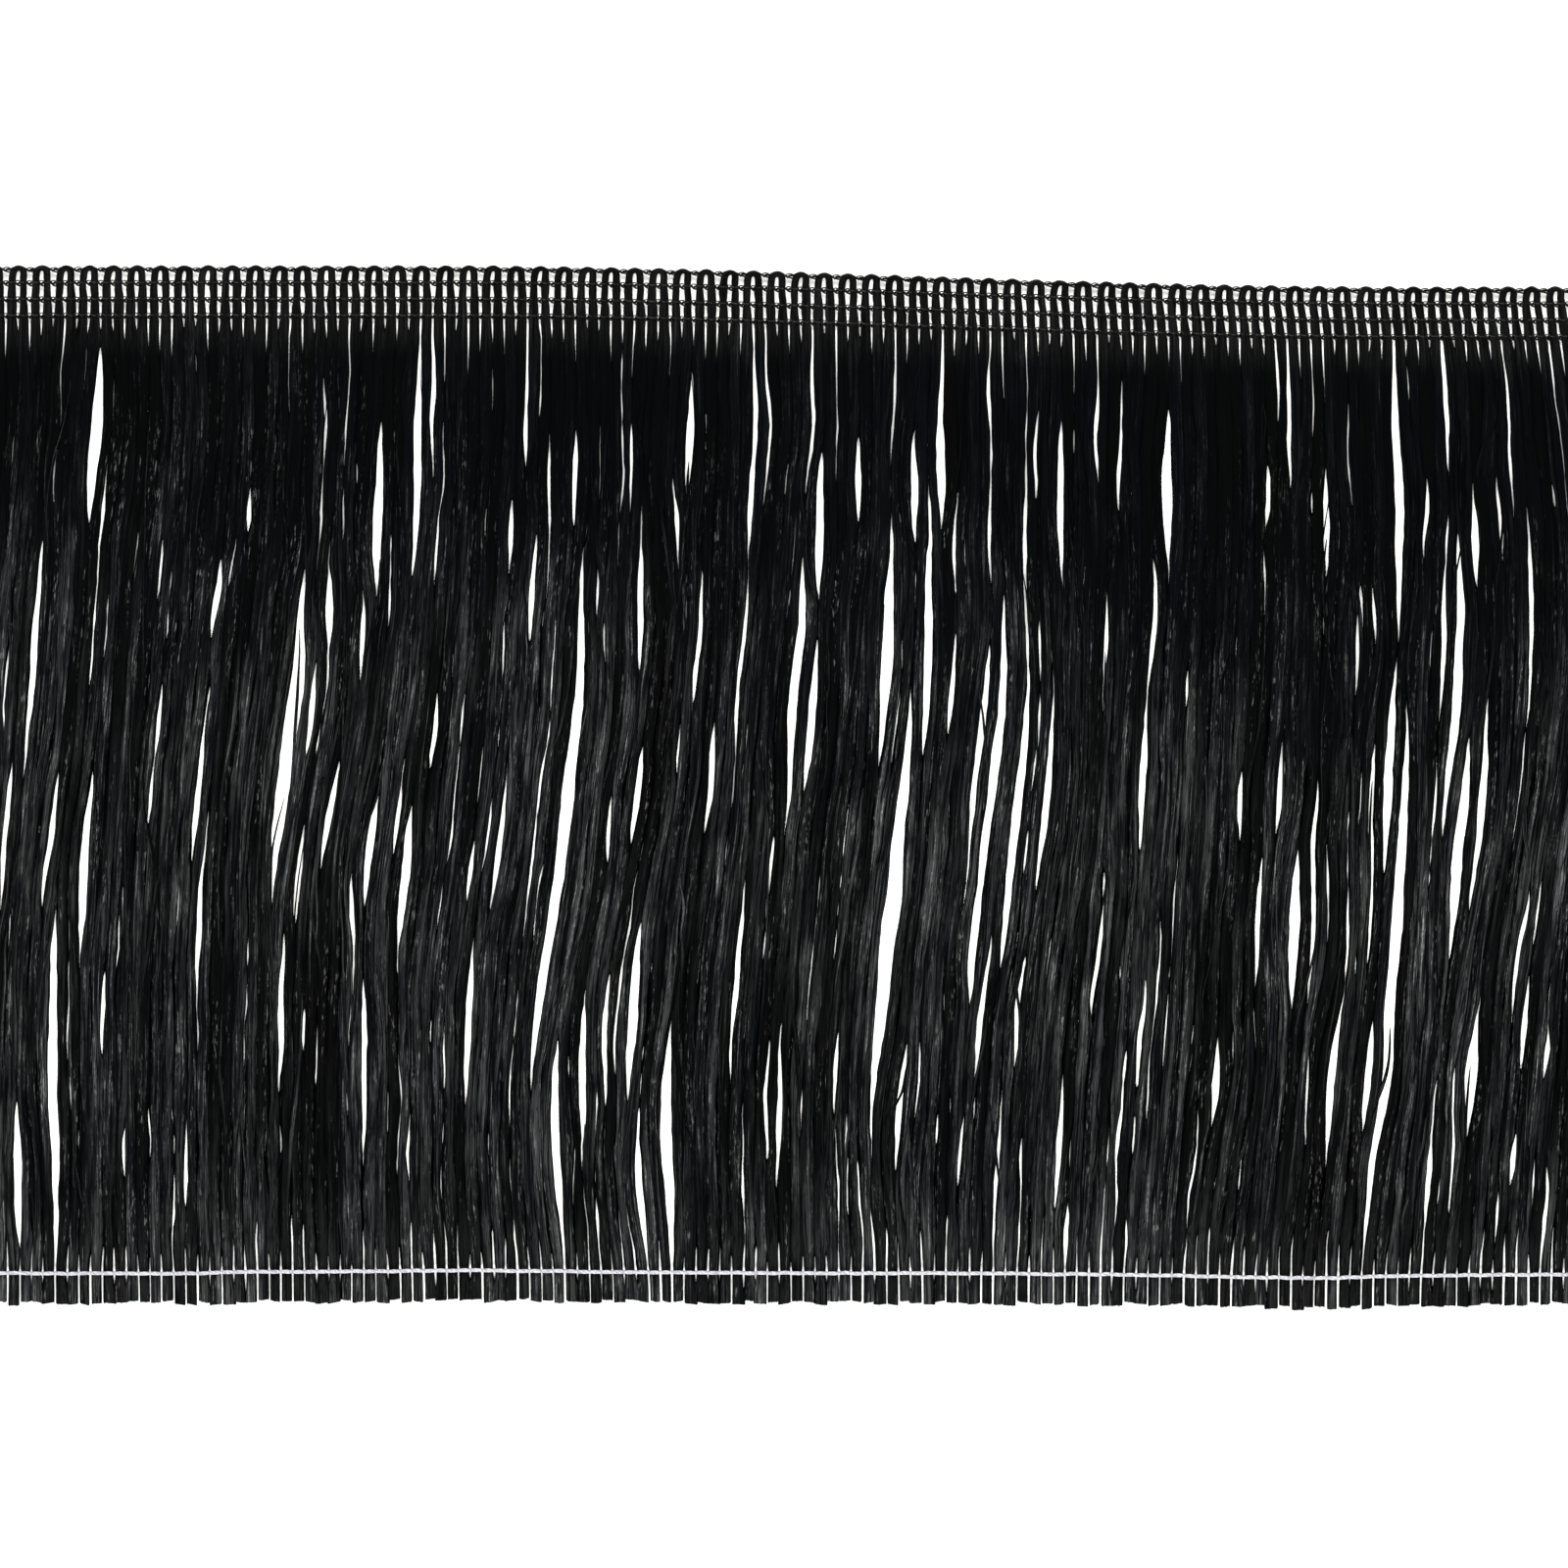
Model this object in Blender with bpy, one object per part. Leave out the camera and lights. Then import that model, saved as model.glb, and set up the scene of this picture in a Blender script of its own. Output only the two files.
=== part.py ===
"""Black raffia loop fringe, lying flat and seen from above with its heading towards +Y.

One raffia yarn runs down and up in loops. Each loop is a hump at the top edge and two legs. Four rows
of thin black thread cross the heading, and a white thread holds the legs in order above their cut ends.
Sizes are real ones in metres. The cloth plane is XY, and everything rests on Z = 0.
"""

import math
import random

import bpy

MM = 0.001

# Yarn
LOOP_COUNT = 70
LEG_COUNT = 2 * LOOP_COUNT
LEG_PITCH = 2.42 * MM
HEADING_MIDDLE_X = 4.6 * MM
CENTRE_X = 2.0 * MM

# Heading, measured down from the humps' peaks
PEAK_Y = 106.5 * MM
HEADING_HEIGHT = 11.4 * MM
HEADING_DROP = 4.3 * MM
DROP_START_X = -72.0 * MM
DROP_END_X = 128.0 * MM
LEAN_AT_RIGHT = 1.2 * MM
LEAN_START_X = -30.0 * MM
LEAN_END_X = 140.0 * MM
RIB_HEIGHT = 1.3 * MM
RIB_BASE_HALF = 0.86 * MM
RIB_TOP_HALF = 0.55 * MM
GROOVE_HEIGHT = 0.55 * MM
CROWN_HEIGHT = 1.1 * MM
SHOULDER_BELOW_PEAK = 1.0 * MM
CREST_BELOW_PEAK = 0.12 * MM
VALLEY_BELOW_PEAK = 1.7 * MM
SHOULDER_OUT = 0.75 * MM
CREST_IN = 0.5 * MM

# Legs below the heading, with a flat underside on the floor
RIDGED_HEIGHT = 1.0 * MM
FLAT_HEIGHT = 1.15 * MM
HEIGHT_SPREAD = 0.12 * MM
WANDER = 0.18 * MM
EDGE_SPREAD = 0.06
TIP_SPREAD = 0.22 * MM
TIP_RAGGED = 0.45 * MM
TIP_BELOW_THREAD = 6.1 * MM
RANDOM_SEED = 7

# Share of the spacing that a leg fills on one side: a ridged leg is wide at its foot, a flat one on top
RIDGED_FOOT_SHARE = 0.46
FLAT_FOOT_SHARE = 0.33
FLAT_TOP_SHARE = 0.56
WIDEST_HALF = 1.45 * MM

# Threads
HEADING_THREAD_BELOW_PEAK = (0.8 * MM, 3.5 * MM, 6.85 * MM, 10.2 * MM)
HEADING_THREAD_RADIUS = 0.2 * MM
HOLDING_THREAD_RADIUS = 0.45 * MM
PIECE_GAP = 0.3 * MM
HEADING_THREAD_SIDES = 4
HOLDING_THREAD_SIDES = 6
HOLDING_THREAD_OVERHANG = 1.6 * MM
TIGHT_LEG_HEIGHT = 1.2 * MM

# Sections of a leg, as shares of its way from the heading to its cut end
SECTION_SHARES = (0.0, 0.055, 0.125, 0.21, 0.31, 0.425, 0.55, 0.68, 0.83, 1.0)

# Height of the holding thread along its length, in mm
HOLDING_LINE_COLUMNS = ("x", "y")
HOLDING_LINE = (
    (-175, -99.1),
    (-125, -99.1),
    (-100, -98.7),
    (-60, -98.5),
    (-13, -99.0),
    (35, -99.1),
    (67, -99.3),
    (107, -100.1),
    (131, -99.5),
    (175, -99.2),
)

# Sideways drift of the legs at each height, for legs that leave the heading at the x of SWAY_STATIONS, in mm
SWAY_STATIONS = (-141, -96, -41, 25, 124, 151)
SWAY_COLUMNS = ("y", "far_left", "left", "left_middle", "right_middle", "right", "far_right")
SWAY = (
    (95, 0.0, 0.0, 0.0, 0.0, 0.0, 0.0),
    (75, 0.2, -0.2, 0.0, 0.0, 0.8, 2.0),
    (53, -2.2, -1.0, -1.0, -0.4, 1.4, 4.4),
    (33, -4.0, -3.0, -1.6, -0.8, 0.6, 4.8),
    (21, -5.0, -4.2, -2.2, -1.2, -0.4, 4.0),
    (1, -6.2, -7.0, -4.4, -2.6, -1.0, 1.0),
    (-19, -7.8, -8.8, -7.0, -4.8, -1.8, -1.6),
    (-39, -9.2, -9.2, -9.6, -7.0, -2.8, -4.0),
    (-59, -9.8, -9.2, -10.8, -8.6, -4.4, -6.0),
    (-79, -10.0, -9.6, -10.6, -9.4, -6.8, -7.6),
    (-98, -9.4, -9.2, -9.2, -9.1, -8.9, -8.9),
    (-107, -9.2, -9.1, -9.1, -9.1, -9.0, -9.0),
)

# Places where two neighbouring legs part, one row for each opening, in mm
PARTING_COLUMNS = ("x", "top", "bottom", "width")
PARTINGS = (
    (-141.6, 91, 53, 2.6),
    (-83.6, 76, 31, 2.2),
    (-76.4, 92, 41, 2.0),
    (-44.0, 74, 53, 1.3),
    (-57.0, 60, 42, 1.3),
    (-20.6, 86, 55, 1.9),
    (-6.6, 93, 52, 1.2),
    (6.4, 69, 37, 2.0),
    (14.6, 72, 53, 1.4),
    (25.0, 74, 49, 1.8),
    (30.8, 81, 52, 2.2),
    (55.0, 76, 41, 1.5),
    (77.0, 78, 45, 2.5),
    (109.4, 66, 41, 1.6),
    (124.8, 91, 31, 2.3),
    (133.0, 92, 63, 1.1),
    (139.4, 60, 40, 1.6),
    (-102.0, 46, -25, 3.4),
    (-93.8, 45, 29, 1.8),
    (-154.2, 53, 1, 1.3),
    (-45.8, 51, -65, 2.8),
    (-30.6, 49, 23, 1.7),
    (1.8, 49, -5, 2.2),
    (4.4, 31, -2, 1.9),
    (19.8, 54, 2, 2.6),
    (28.0, 49, 5, 2.0),
    (20.6, 19, -72, 3.2),
    (39.4, 31, -17, 1.7),
    (42.4, 41, -31, 2.2),
    (45.0, 25, -39, 2.1),
    (52.4, 19, -23, 1.8),
    (36.8, -17, -45, 2.2),
    (72.2, 21, -14, 1.6),
    (116.4, 42, 18, 1.7),
    (123.4, 25, -19, 2.3),
    (122.4, 21, -97, 2.6),
    (135.4, 55, -13, 2.0),
    (135.6, 12, -36, 2.6),
    (141.6, 20, -27, 1.7),
    (119.0, 11, -39, 1.4),
    (99.6, 13, -11, 2.0),
    (102.6, -12, -46, 2.5),
    (107.2, 5, -45, 1.4),
    (-144.0, 5, -39, 1.9),
    (-150.8, -22, -97, 2.3),
    (-85.0, 1, -25, 1.8),
    (-79.2, -2, -33, 2.0),
    (-58.8, 4, -27, 1.5),
    (-31.2, 9, -13, 1.7),
    (-32.0, -26, -65, 2.2),
    (-43.0, -41, -73, 1.6),
    (-47.4, -50, -97, 2.1),
    (-65.6, -31, -65, 1.5),
    (-25.6, -45, -98, 2.6),
    (-30.0, -65, -98, 1.8),
    (-86.8, -39, -79, 1.5),
    (-156.8, -63, -95, 1.9),
    (22.2, -51, -79, 1.8),
    (87.0, -51, -70, 1.9),
    (111.4, -43, -78, 1.7),
    (117.6, -46, -71, 1.8),
    (139.2, -45, -72, 2.4),
)

# How many legs on each side take up the room that a parting needs
CROWDING_REACH = 14
CROWDING_WIDTH = 5.0
LENS_FULLNESS = 0.8

# How far the steering of a slit to a parting's place reaches over its neighbours and past its ends
STEERING_LEGS = 3.0
STEERING_MARGIN = 6.0 * MM
STEERING_LENGTH = 0.35
STEERING_RISE = 2.5

RAFFIA = {"name": "black_raffia", "color": (0.012, 0.012, 0.014), "roughness": 0.45}
BLACK_THREAD = {"name": "black_thread", "color": (0.020, 0.015, 0.013), "roughness": 0.60}
WHITE_THREAD = {"name": "white_thread", "color": (0.82, 0.82, 0.80), "roughness": 0.75}


def clear_scene():
    """Remove every object from the open scene."""
    for obj in list(bpy.data.objects):
        bpy.data.objects.remove(obj, do_unlink=True)


def make_material(look):
    """Make one Principled material from a name, a colour and a roughness."""
    material = bpy.data.materials.new(look["name"])
    material.use_nodes = True
    shader = material.node_tree.nodes["Principled BSDF"]
    shader.inputs["Base Color"].default_value = (*look["color"], 1.0)
    shader.inputs["Roughness"].default_value = look["roughness"]
    shader.inputs["Metallic"].default_value = 0.0
    return material


def add_object(name, points, faces, material):
    """Put a mesh of points and faces in the scene, centred on the fringe's own middle."""
    placed = [(x - CENTRE_X, y, z) for x, y, z in points]
    mesh = bpy.data.meshes.new(name)
    mesh.from_pydata(placed, [], faces)
    mesh.materials.append(material)
    mesh.validate()
    obj = bpy.data.objects.new(name, mesh)
    bpy.context.scene.collection.objects.link(obj)
    return obj


def ease(value, start, end):
    """Rise smoothly from 0 at start to 1 at end."""
    share = min(1.0, max(0.0, (value - start) / (end - start)))
    return share * share * (3.0 - 2.0 * share)


def straight_between(value, stations, heights):
    """Read a broken line through (stations, heights), level beyond both its ends."""
    if value <= stations[0]:
        return heights[0]
    for low, high, first, last in zip(stations, stations[1:], heights, heights[1:]):
        if value <= high:
            return first + (last - first) * (value - low) / (high - low)
    return heights[-1]


def peak_y(x):
    """Height of the humps' peaks: level at the left, and lower to the right."""
    return PEAK_Y - HEADING_DROP * ease(x, DROP_START_X, DROP_END_X)


def heading_lean(x):
    """How far a leg moves to the right on its way down through the heading."""
    return LEAN_AT_RIGHT * ease(x, LEAN_START_X, LEAN_END_X)


def root_y(x):
    """Line along which the legs leave the heading."""
    return peak_y(x) - HEADING_HEIGHT


def holding_y(x):
    """Line of the white holding thread."""
    stations = [row[0] * MM for row in HOLDING_LINE]
    heights = [row[1] * MM for row in HOLDING_LINE]
    return straight_between(x, stations, heights)


def leg_root_x(leg):
    """Place of a leg along the root line."""
    return HEADING_MIDDLE_X + (leg - 0.5 * (LEG_COUNT - 1)) * LEG_PITCH


def sway(x, y):
    """Sideways drift at height y of a leg that leaves the heading at x."""
    stations = [station * MM for station in SWAY_STATIONS]
    top = SWAY[0]
    if y >= top[0] * MM:
        return straight_between(x, stations, top[1:]) * MM
    for upper, lower in zip(SWAY, SWAY[1:]):
        if y >= lower[0] * MM:
            share = (upper[0] * MM - y) / ((upper[0] - lower[0]) * MM)
            above = straight_between(x, stations, upper[1:])
            below = straight_between(x, stations, lower[1:])
            return (above + (below - above) * share) * MM
    return straight_between(x, stations, SWAY[-1][1:]) * MM


def slit_openings(heights, partings):
    """Width to which each slit between two legs is open, with each leg at its own height."""
    openings = [0.0] * (LEG_COUNT - 1)
    for parting in partings:
        slit = parting["slit"]
        share = (parting["top"] - heights[slit]) / (parting["top"] - parting["bottom"])
        if 0.0 < share < 1.0:
            lens = parting["width"] * math.sin(math.pi * share) ** LENS_FULLNESS
            openings[slit] = max(openings[slit], lens)
    return openings


def crowding(openings):
    """Shift of each leg that makes room for the openings, spread over its neighbours.

    The openings are summed from the left, and the same sum smoothed over the neighbours is taken away.
    """
    total = [0.0]
    for opening in openings:
        total.append(total[-1] + opening)
    steps = range(-CROWDING_REACH, CROWDING_REACH + 1)
    weights = [math.exp(-0.5 * (step / CROWDING_WIDTH) ** 2) for step in steps]
    whole = sum(weights)
    shifts = []
    for leg in range(LEG_COUNT):
        smooth = 0.0
        for step, weight in zip(steps, weights):
            smooth += weight * total[min(LEG_COUNT - 1, max(0, leg + step))]
        shifts.append(total[leg] - smooth / whole)
    return shifts


def steering(leg, y, share, partings):
    """Shift that brings the slits nearest to the partings to their places, shared out smoothly."""
    pull = 0.0
    whole = 0.0
    for parting in partings:
        across = (leg - parting["slit"] - 0.5) / STEERING_LEGS
        reach = STEERING_MARGIN + STEERING_LENGTH * (parting["top"] - parting["bottom"])
        along = (y - 0.5 * (parting["top"] + parting["bottom"])) / reach
        weight = math.exp(-0.5 * (across * across + along * along))
        pull += weight * parting["miss"]
        whole += weight
    freedom = min(1.0, STEERING_RISE * math.sin(math.pi * share))
    return freedom * pull / max(1.0, whole)


def settle_partings():
    """Give each parting the slit that lies nearest to it, and how far that slit misses its place."""
    partings = []
    for row in PARTINGS:
        values = dict(zip(PARTING_COLUMNS, [value * MM for value in row]))
        partings.append({**values, "slit": 0, "miss": 0.0})
    for use_crowding in (False, True):
        settled = []
        for parting in partings:
            middle = 0.5 * (parting["top"] + parting["bottom"])
            heights = [middle] * LEG_COUNT
            places = [leg_root_x(leg) + sway(leg_root_x(leg), middle) for leg in range(LEG_COUNT)]
            if use_crowding:
                shifts = crowding(slit_openings(heights, partings))
                places = [place + shift for place, shift in zip(places, shifts)]
            misses = [parting["x"] - 0.5 * (a + b) for a, b in zip(places, places[1:])]
            miss = min(misses, key=abs)
            settled.append({**parting, "slit": misses.index(miss), "miss": miss})
        partings = settled
    return partings


def leg_rows():
    """Work out every leg's place, height and side limits at each of its sections.

    Returns one row for each section, with the legs' centres, the spacing to each side's neighbour less
    the opening there, a small shift of each edge, and a small rise of the top.
    """
    chance = random.Random(RANDOM_SEED)
    partings = settle_partings()
    ragged = [chance.uniform(-TIP_RAGGED, TIP_RAGGED) for _ in range(LEG_COUNT)]
    rows = []
    for number, share in enumerate(SECTION_SHARES):
        last = number == len(SECTION_SHARES) - 1
        roots = [leg_root_x(leg) for leg in range(LEG_COUNT)]
        heights = []
        for leg, root in enumerate(roots):
            tip = holding_y(root + sway(root, HOLDING_LINE[0][1] * MM)) - TIP_BELOW_THREAD
            top = root_y(root)
            heights.append(top + (tip - top) * share + (ragged[leg] if last else 0.0))
        openings = slit_openings(heights, partings)
        shifts = crowding(openings)
        freedom = WANDER * math.sin(math.pi * share) + (TIP_SPREAD if last else 0.0)
        places = []
        for leg, root in enumerate(roots):
            stray = chance.uniform(-1.0, 1.0) * freedom
            stray += steering(leg, heights[leg], share, partings)
            places.append(root + sway(root, heights[leg]) + shifts[leg] + stray)
        spacings = [b - a - o for a, b, o in zip(places, places[1:], openings)]
        spacings = [LEG_PITCH] + spacings + [LEG_PITCH]
        edges = [chance.uniform(-EDGE_SPREAD, EDGE_SPREAD) for _ in spacings]
        row = []
        for leg in range(LEG_COUNT):
            sign = 1.0 if leg % 2 == 0 else -1.0
            rise = chance.uniform(-HEIGHT_SPREAD, HEIGHT_SPREAD) * math.sin(math.pi * share)
            row.append({
                "x": places[leg],
                "y": heights[leg],
                "left": spacings[leg],
                "right": spacings[leg + 1],
                "left_shift": sign * edges[leg],
                "right_shift": sign * edges[leg + 1],
                "rise": rise,
            })
        rows.append(row)
    return rows


def is_ridged(leg):
    """Tell whether a leg is folded to one ridge, which every second leg is."""
    return leg % 2 == 0


def leg_section(leg, row, at_root):
    """Corner points of one section of a leg, from its left foot round under it and back over the top."""
    x, y = row["x"], row["y"]
    if at_root:
        foot_left = foot_right = RIB_BASE_HALF
        top_left = top_right = RIB_TOP_HALF
        height = RIB_HEIGHT
    else:
        foot_share = RIDGED_FOOT_SHARE if is_ridged(leg) else FLAT_FOOT_SHARE
        foot_left = min(WIDEST_HALF, (foot_share + row["left_shift"]) * row["left"])
        foot_right = min(WIDEST_HALF, (foot_share + row["right_shift"]) * row["right"])
        top_left = min(WIDEST_HALF, (FLAT_TOP_SHARE + row["left_shift"]) * row["left"])
        top_right = min(WIDEST_HALF, (FLAT_TOP_SHARE + row["right_shift"]) * row["right"])
        height = (RIDGED_HEIGHT if is_ridged(leg) else FLAT_HEIGHT) + row["rise"]
    feet = [(x - foot_left, y, 0.0), (x + foot_right, y, 0.0)]
    if is_ridged(leg):
        return feet + [(x, y, height)]
    return feet + [(x + top_right, y, height), (x - top_left, y, height)]


def crown_points(first, second):
    """Points of one loop's hump over its two legs, from its left shoulder to the valley at its right."""
    left = first["x"] - heading_lean(first["x"])
    right = second["x"] - heading_lean(second["x"])
    middle = 0.5 * (left + right)
    peak = peak_y(middle)
    shoulder = peak - SHOULDER_BELOW_PEAK
    crest = peak - CREST_BELOW_PEAK
    valley = peak - VALLEY_BELOW_PEAK
    return {
        "shoulder_left": (left - SHOULDER_OUT, shoulder, CROWN_HEIGHT),
        "crest_left": (left + CREST_IN, crest, CROWN_HEIGHT),
        "peak": (middle, peak, CROWN_HEIGHT),
        "crest_right": (right - CREST_IN, crest, CROWN_HEIGHT),
        "shoulder_right": (right + SHOULDER_OUT, shoulder, CROWN_HEIGHT),
        "valley": (right + 0.5 * LEG_PITCH, valley, GROOVE_HEIGHT),
        "valley_foot": (right + 0.5 * LEG_PITCH, valley, 0.0),
        "left_foot": (left + CREST_IN, crest, 0.0),
        "right_foot": (right - CREST_IN, crest, 0.0),
    }


def build_yarn(material):
    """Build the looped raffia: the heading strip with its ribs and humps, and all the legs."""
    rows = leg_rows()
    points = []
    faces = []

    def keep(point):
        points.append(point)
        return len(points) - 1

    sections = []
    for leg in range(LEG_COUNT):
        rings = []
        for number, row in enumerate(rows):
            section = leg_section(leg, row[leg], number == 0)
            rings.append([keep(point) for point in section])
        sections.append(rings)
        for upper, lower in zip(rings, rings[1:]):
            count = len(upper)
            for corner in range(count):
                after = (corner + 1) % count
                faces.append((upper[corner], upper[after], lower[after], lower[corner]))
        faces.append(tuple(rings[-1]))

    root_row = rows[0]
    grooves = []
    for leg in range(LEG_COUNT - 1):
        a, b = root_row[leg], root_row[leg + 1]
        grooves.append(keep((0.5 * (a["x"] + b["x"]), 0.5 * (a["y"] + b["y"]), GROOVE_HEIGHT)))
    crowns = []
    for loop in range(LOOP_COUNT):
        crown = crown_points(root_row[2 * loop], root_row[2 * loop + 1])
        if loop == LOOP_COUNT - 1:
            crown.pop("valley")
            crown.pop("valley_foot")
        crowns.append({name: keep(point) for name, point in crown.items()})

    for loop in range(LOOP_COUNT):
        foot_left, foot_right, ridge = sections[2 * loop][0]
        flat_foot_left, flat_foot_right, flat_top_right, flat_top_left = sections[2 * loop + 1][0]
        crown = crowns[loop]
        inner = grooves[2 * loop]
        faces.append((ridge, inner, crown["peak"], crown["crest_left"]))
        faces.append((ridge, crown["crest_left"], crown["shoulder_left"]))
        faces.append((inner, flat_top_left, crown["crest_right"], crown["peak"]))
        faces.append((flat_top_left, flat_top_right, crown["shoulder_right"], crown["crest_right"]))
        faces.append((foot_right, flat_foot_left, flat_top_left, inner, ridge))
        faces.append((crown["left_foot"], crown["crest_left"], crown["peak"],
                      crown["crest_right"], crown["right_foot"]))
        faces.append((foot_left, crown["left_foot"], foot_right))
        faces.append((foot_right, crown["left_foot"], crown["right_foot"], flat_foot_left))
        faces.append((flat_foot_left, crown["right_foot"], flat_foot_right))
        if loop == 0:
            faces.append((foot_left, ridge, crown["shoulder_left"], crown["crest_left"],
                          crown["left_foot"]))
        if loop == LOOP_COUNT - 1:
            faces.append((flat_foot_right, crown["right_foot"], crown["crest_right"],
                          crown["shoulder_right"], flat_top_right))
            continue
        outer = grooves[2 * loop + 1]
        next_foot, _, next_ridge = sections[2 * loop + 2][0]
        next_crown = crowns[loop + 1]
        faces.append((flat_top_right, outer, crown["valley"], crown["shoulder_right"]))
        faces.append((outer, next_ridge, next_crown["shoulder_left"], crown["valley"]))
        faces.append((flat_foot_right, next_foot, next_ridge, outer, flat_top_right))
        faces.append((crown["right_foot"], crown["crest_right"], crown["shoulder_right"],
                      crown["valley"], crown["valley_foot"]))
        faces.append((crown["valley_foot"], crown["valley"], next_crown["shoulder_left"],
                      next_crown["crest_left"], next_crown["left_foot"]))
        faces.append((flat_foot_right, crown["right_foot"], crown["valley_foot"]))
        faces.append((flat_foot_right, crown["valley_foot"], next_foot))
        faces.append((next_foot, crown["valley_foot"], next_crown["left_foot"]))
    return add_object("raffia_fringe", points, faces, material)


def build_thread(name, path, radius, sides, material):
    """Build a thread as a tube of a few sides along a path that runs from left to right."""
    points = []
    faces = []
    for x, y, z in path:
        for side in range(sides):
            angle = math.tau * (side + 0.5) / sides
            points.append((x, y + radius * math.cos(angle), z + radius * math.sin(angle)))
    for number in range(len(path) - 1):
        start = number * sides
        for side in range(sides):
            after = (side + 1) % sides
            faces.append((start + side, start + after, start + sides + after, start + sides + side))
    faces.append(tuple(range(sides))[::-1])
    last = (len(path) - 1) * sides
    faces.append(tuple(range(last, last + sides)))
    return add_object(name, points, faces, material)


def build_heading_threads(material):
    """Build the four rows of black thread that lie over the ribs of the heading."""
    height = RIB_HEIGHT + PIECE_GAP + HEADING_THREAD_RADIUS
    edge = 0.5 * LEG_PITCH
    for number, below in enumerate(HEADING_THREAD_BELOW_PEAK, start=1):
        share = below / HEADING_HEIGHT
        path = []
        for loop in range(LOOP_COUNT + 1):
            x = leg_root_x(0) - edge + 2 * loop * LEG_PITCH
            x -= heading_lean(x) * (1.0 - share)
            path.append((x, peak_y(x) - below, height))
        build_thread(f"heading_thread_{number}", path, HEADING_THREAD_RADIUS,
                     HEADING_THREAD_SIDES, material)


def build_holding_thread(material):
    """Build the white thread that lies over the legs above their cut ends."""
    height = TIGHT_LEG_HEIGHT + PIECE_GAP + HOLDING_THREAD_RADIUS
    low = HOLDING_LINE[0][1] * MM
    first = leg_root_x(0) + sway(leg_root_x(0), low) - HOLDING_THREAD_OVERHANG
    last = leg_root_x(LEG_COUNT - 1) + sway(leg_root_x(LEG_COUNT - 1), low) + HOLDING_THREAD_OVERHANG
    path = []
    for step in range(LOOP_COUNT + 1):
        x = first + (last - first) * step / LOOP_COUNT
        path.append((x, holding_y(x), height))
    build_thread("holding_thread", path, HOLDING_THREAD_RADIUS, HOLDING_THREAD_SIDES, material)


def main():
    """Build the whole fringe."""
    clear_scene()
    build_yarn(make_material(RAFFIA))
    build_heading_threads(make_material(BLACK_THREAD))
    build_holding_thread(make_material(WHITE_THREAD))


main()
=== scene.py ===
"""Black raffia loop fringe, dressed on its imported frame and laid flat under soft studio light.

One raffia yarn runs up and down in seventy loops. Its legs hang from a stitched heading and lie flat.
Four rows of black chain stitch cross the heading, and a white chain stitch holds the loose ends in order.
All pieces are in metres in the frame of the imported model: X along the heading, Y towards the humps,
Z up from the floor. Tables are in millimetres.
"""

import logging
import math
from dataclasses import dataclass, replace
from enum import Enum
from typing import NamedTuple

import bpy
import numpy as np
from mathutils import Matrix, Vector


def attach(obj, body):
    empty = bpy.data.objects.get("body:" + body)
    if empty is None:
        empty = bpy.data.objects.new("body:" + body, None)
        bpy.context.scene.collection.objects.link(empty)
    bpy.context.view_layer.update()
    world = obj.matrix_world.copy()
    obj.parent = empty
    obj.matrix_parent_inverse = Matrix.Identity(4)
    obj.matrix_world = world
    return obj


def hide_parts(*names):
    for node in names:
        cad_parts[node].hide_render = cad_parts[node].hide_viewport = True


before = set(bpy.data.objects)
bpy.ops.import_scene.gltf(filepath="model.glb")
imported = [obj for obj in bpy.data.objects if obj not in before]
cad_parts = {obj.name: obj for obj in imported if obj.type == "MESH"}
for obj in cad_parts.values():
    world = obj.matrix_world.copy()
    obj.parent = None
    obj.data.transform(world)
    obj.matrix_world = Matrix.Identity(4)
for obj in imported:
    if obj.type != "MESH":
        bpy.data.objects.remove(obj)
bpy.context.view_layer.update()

LOG = logging.getLogger("raffia_fringe")
MM = 0.001
FLOOR_GAP = 0.02 * MM  # the lowest points stay this far above the floor
PATTERN_STRAY = 5.0  # each strip's fibres start at a random place in so many metres
TINY = 1e-9
Colour = tuple[float, float, float, float]


class SwayRow(NamedTuple):
    """Sideways drift of the legs at one height, in mm, one value for each of SWAY_STATIONS."""

    y: float
    far_left: float
    left: float
    left_middle: float
    right_middle: float
    right: float
    far_right: float


class LinePoint(NamedTuple):
    """One point of the holding thread's line, in mm."""

    x: float
    y: float


class Parting(NamedTuple):
    """One lens-shaped opening that pushes two legs apart, in mm."""

    x: float
    top: float
    bottom: float
    width: float


class NarrowSlit(NamedTuple):
    """One narrow slit where a leg folds thinner, in mm below the root line."""

    x: float
    starts: float
    ends: float
    width: float


class HumpPoint(NamedTuple):
    """Outer and inner edge of a loop's hump, in mm from the loop's middle and below its peak."""

    outer_x: float
    outer_depth: float
    inner_x: float
    inner_depth: float


HUMP = tuple(HumpPoint(*row) for row in (
    (1.87, 2.60, 0.39, 2.60), (1.84, 2.00, 0.38, 2.10), (1.80, 1.45, 0.36, 1.74), (1.70, 1.02, 0.31, 1.46),
    (1.42, 0.68, 0.24, 1.28), (1.00, 0.34, 0.16, 1.18), (0.50, 0.09, 0.08, 1.14), (0.00, 0.00, 0.00, 1.13),
))

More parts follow.
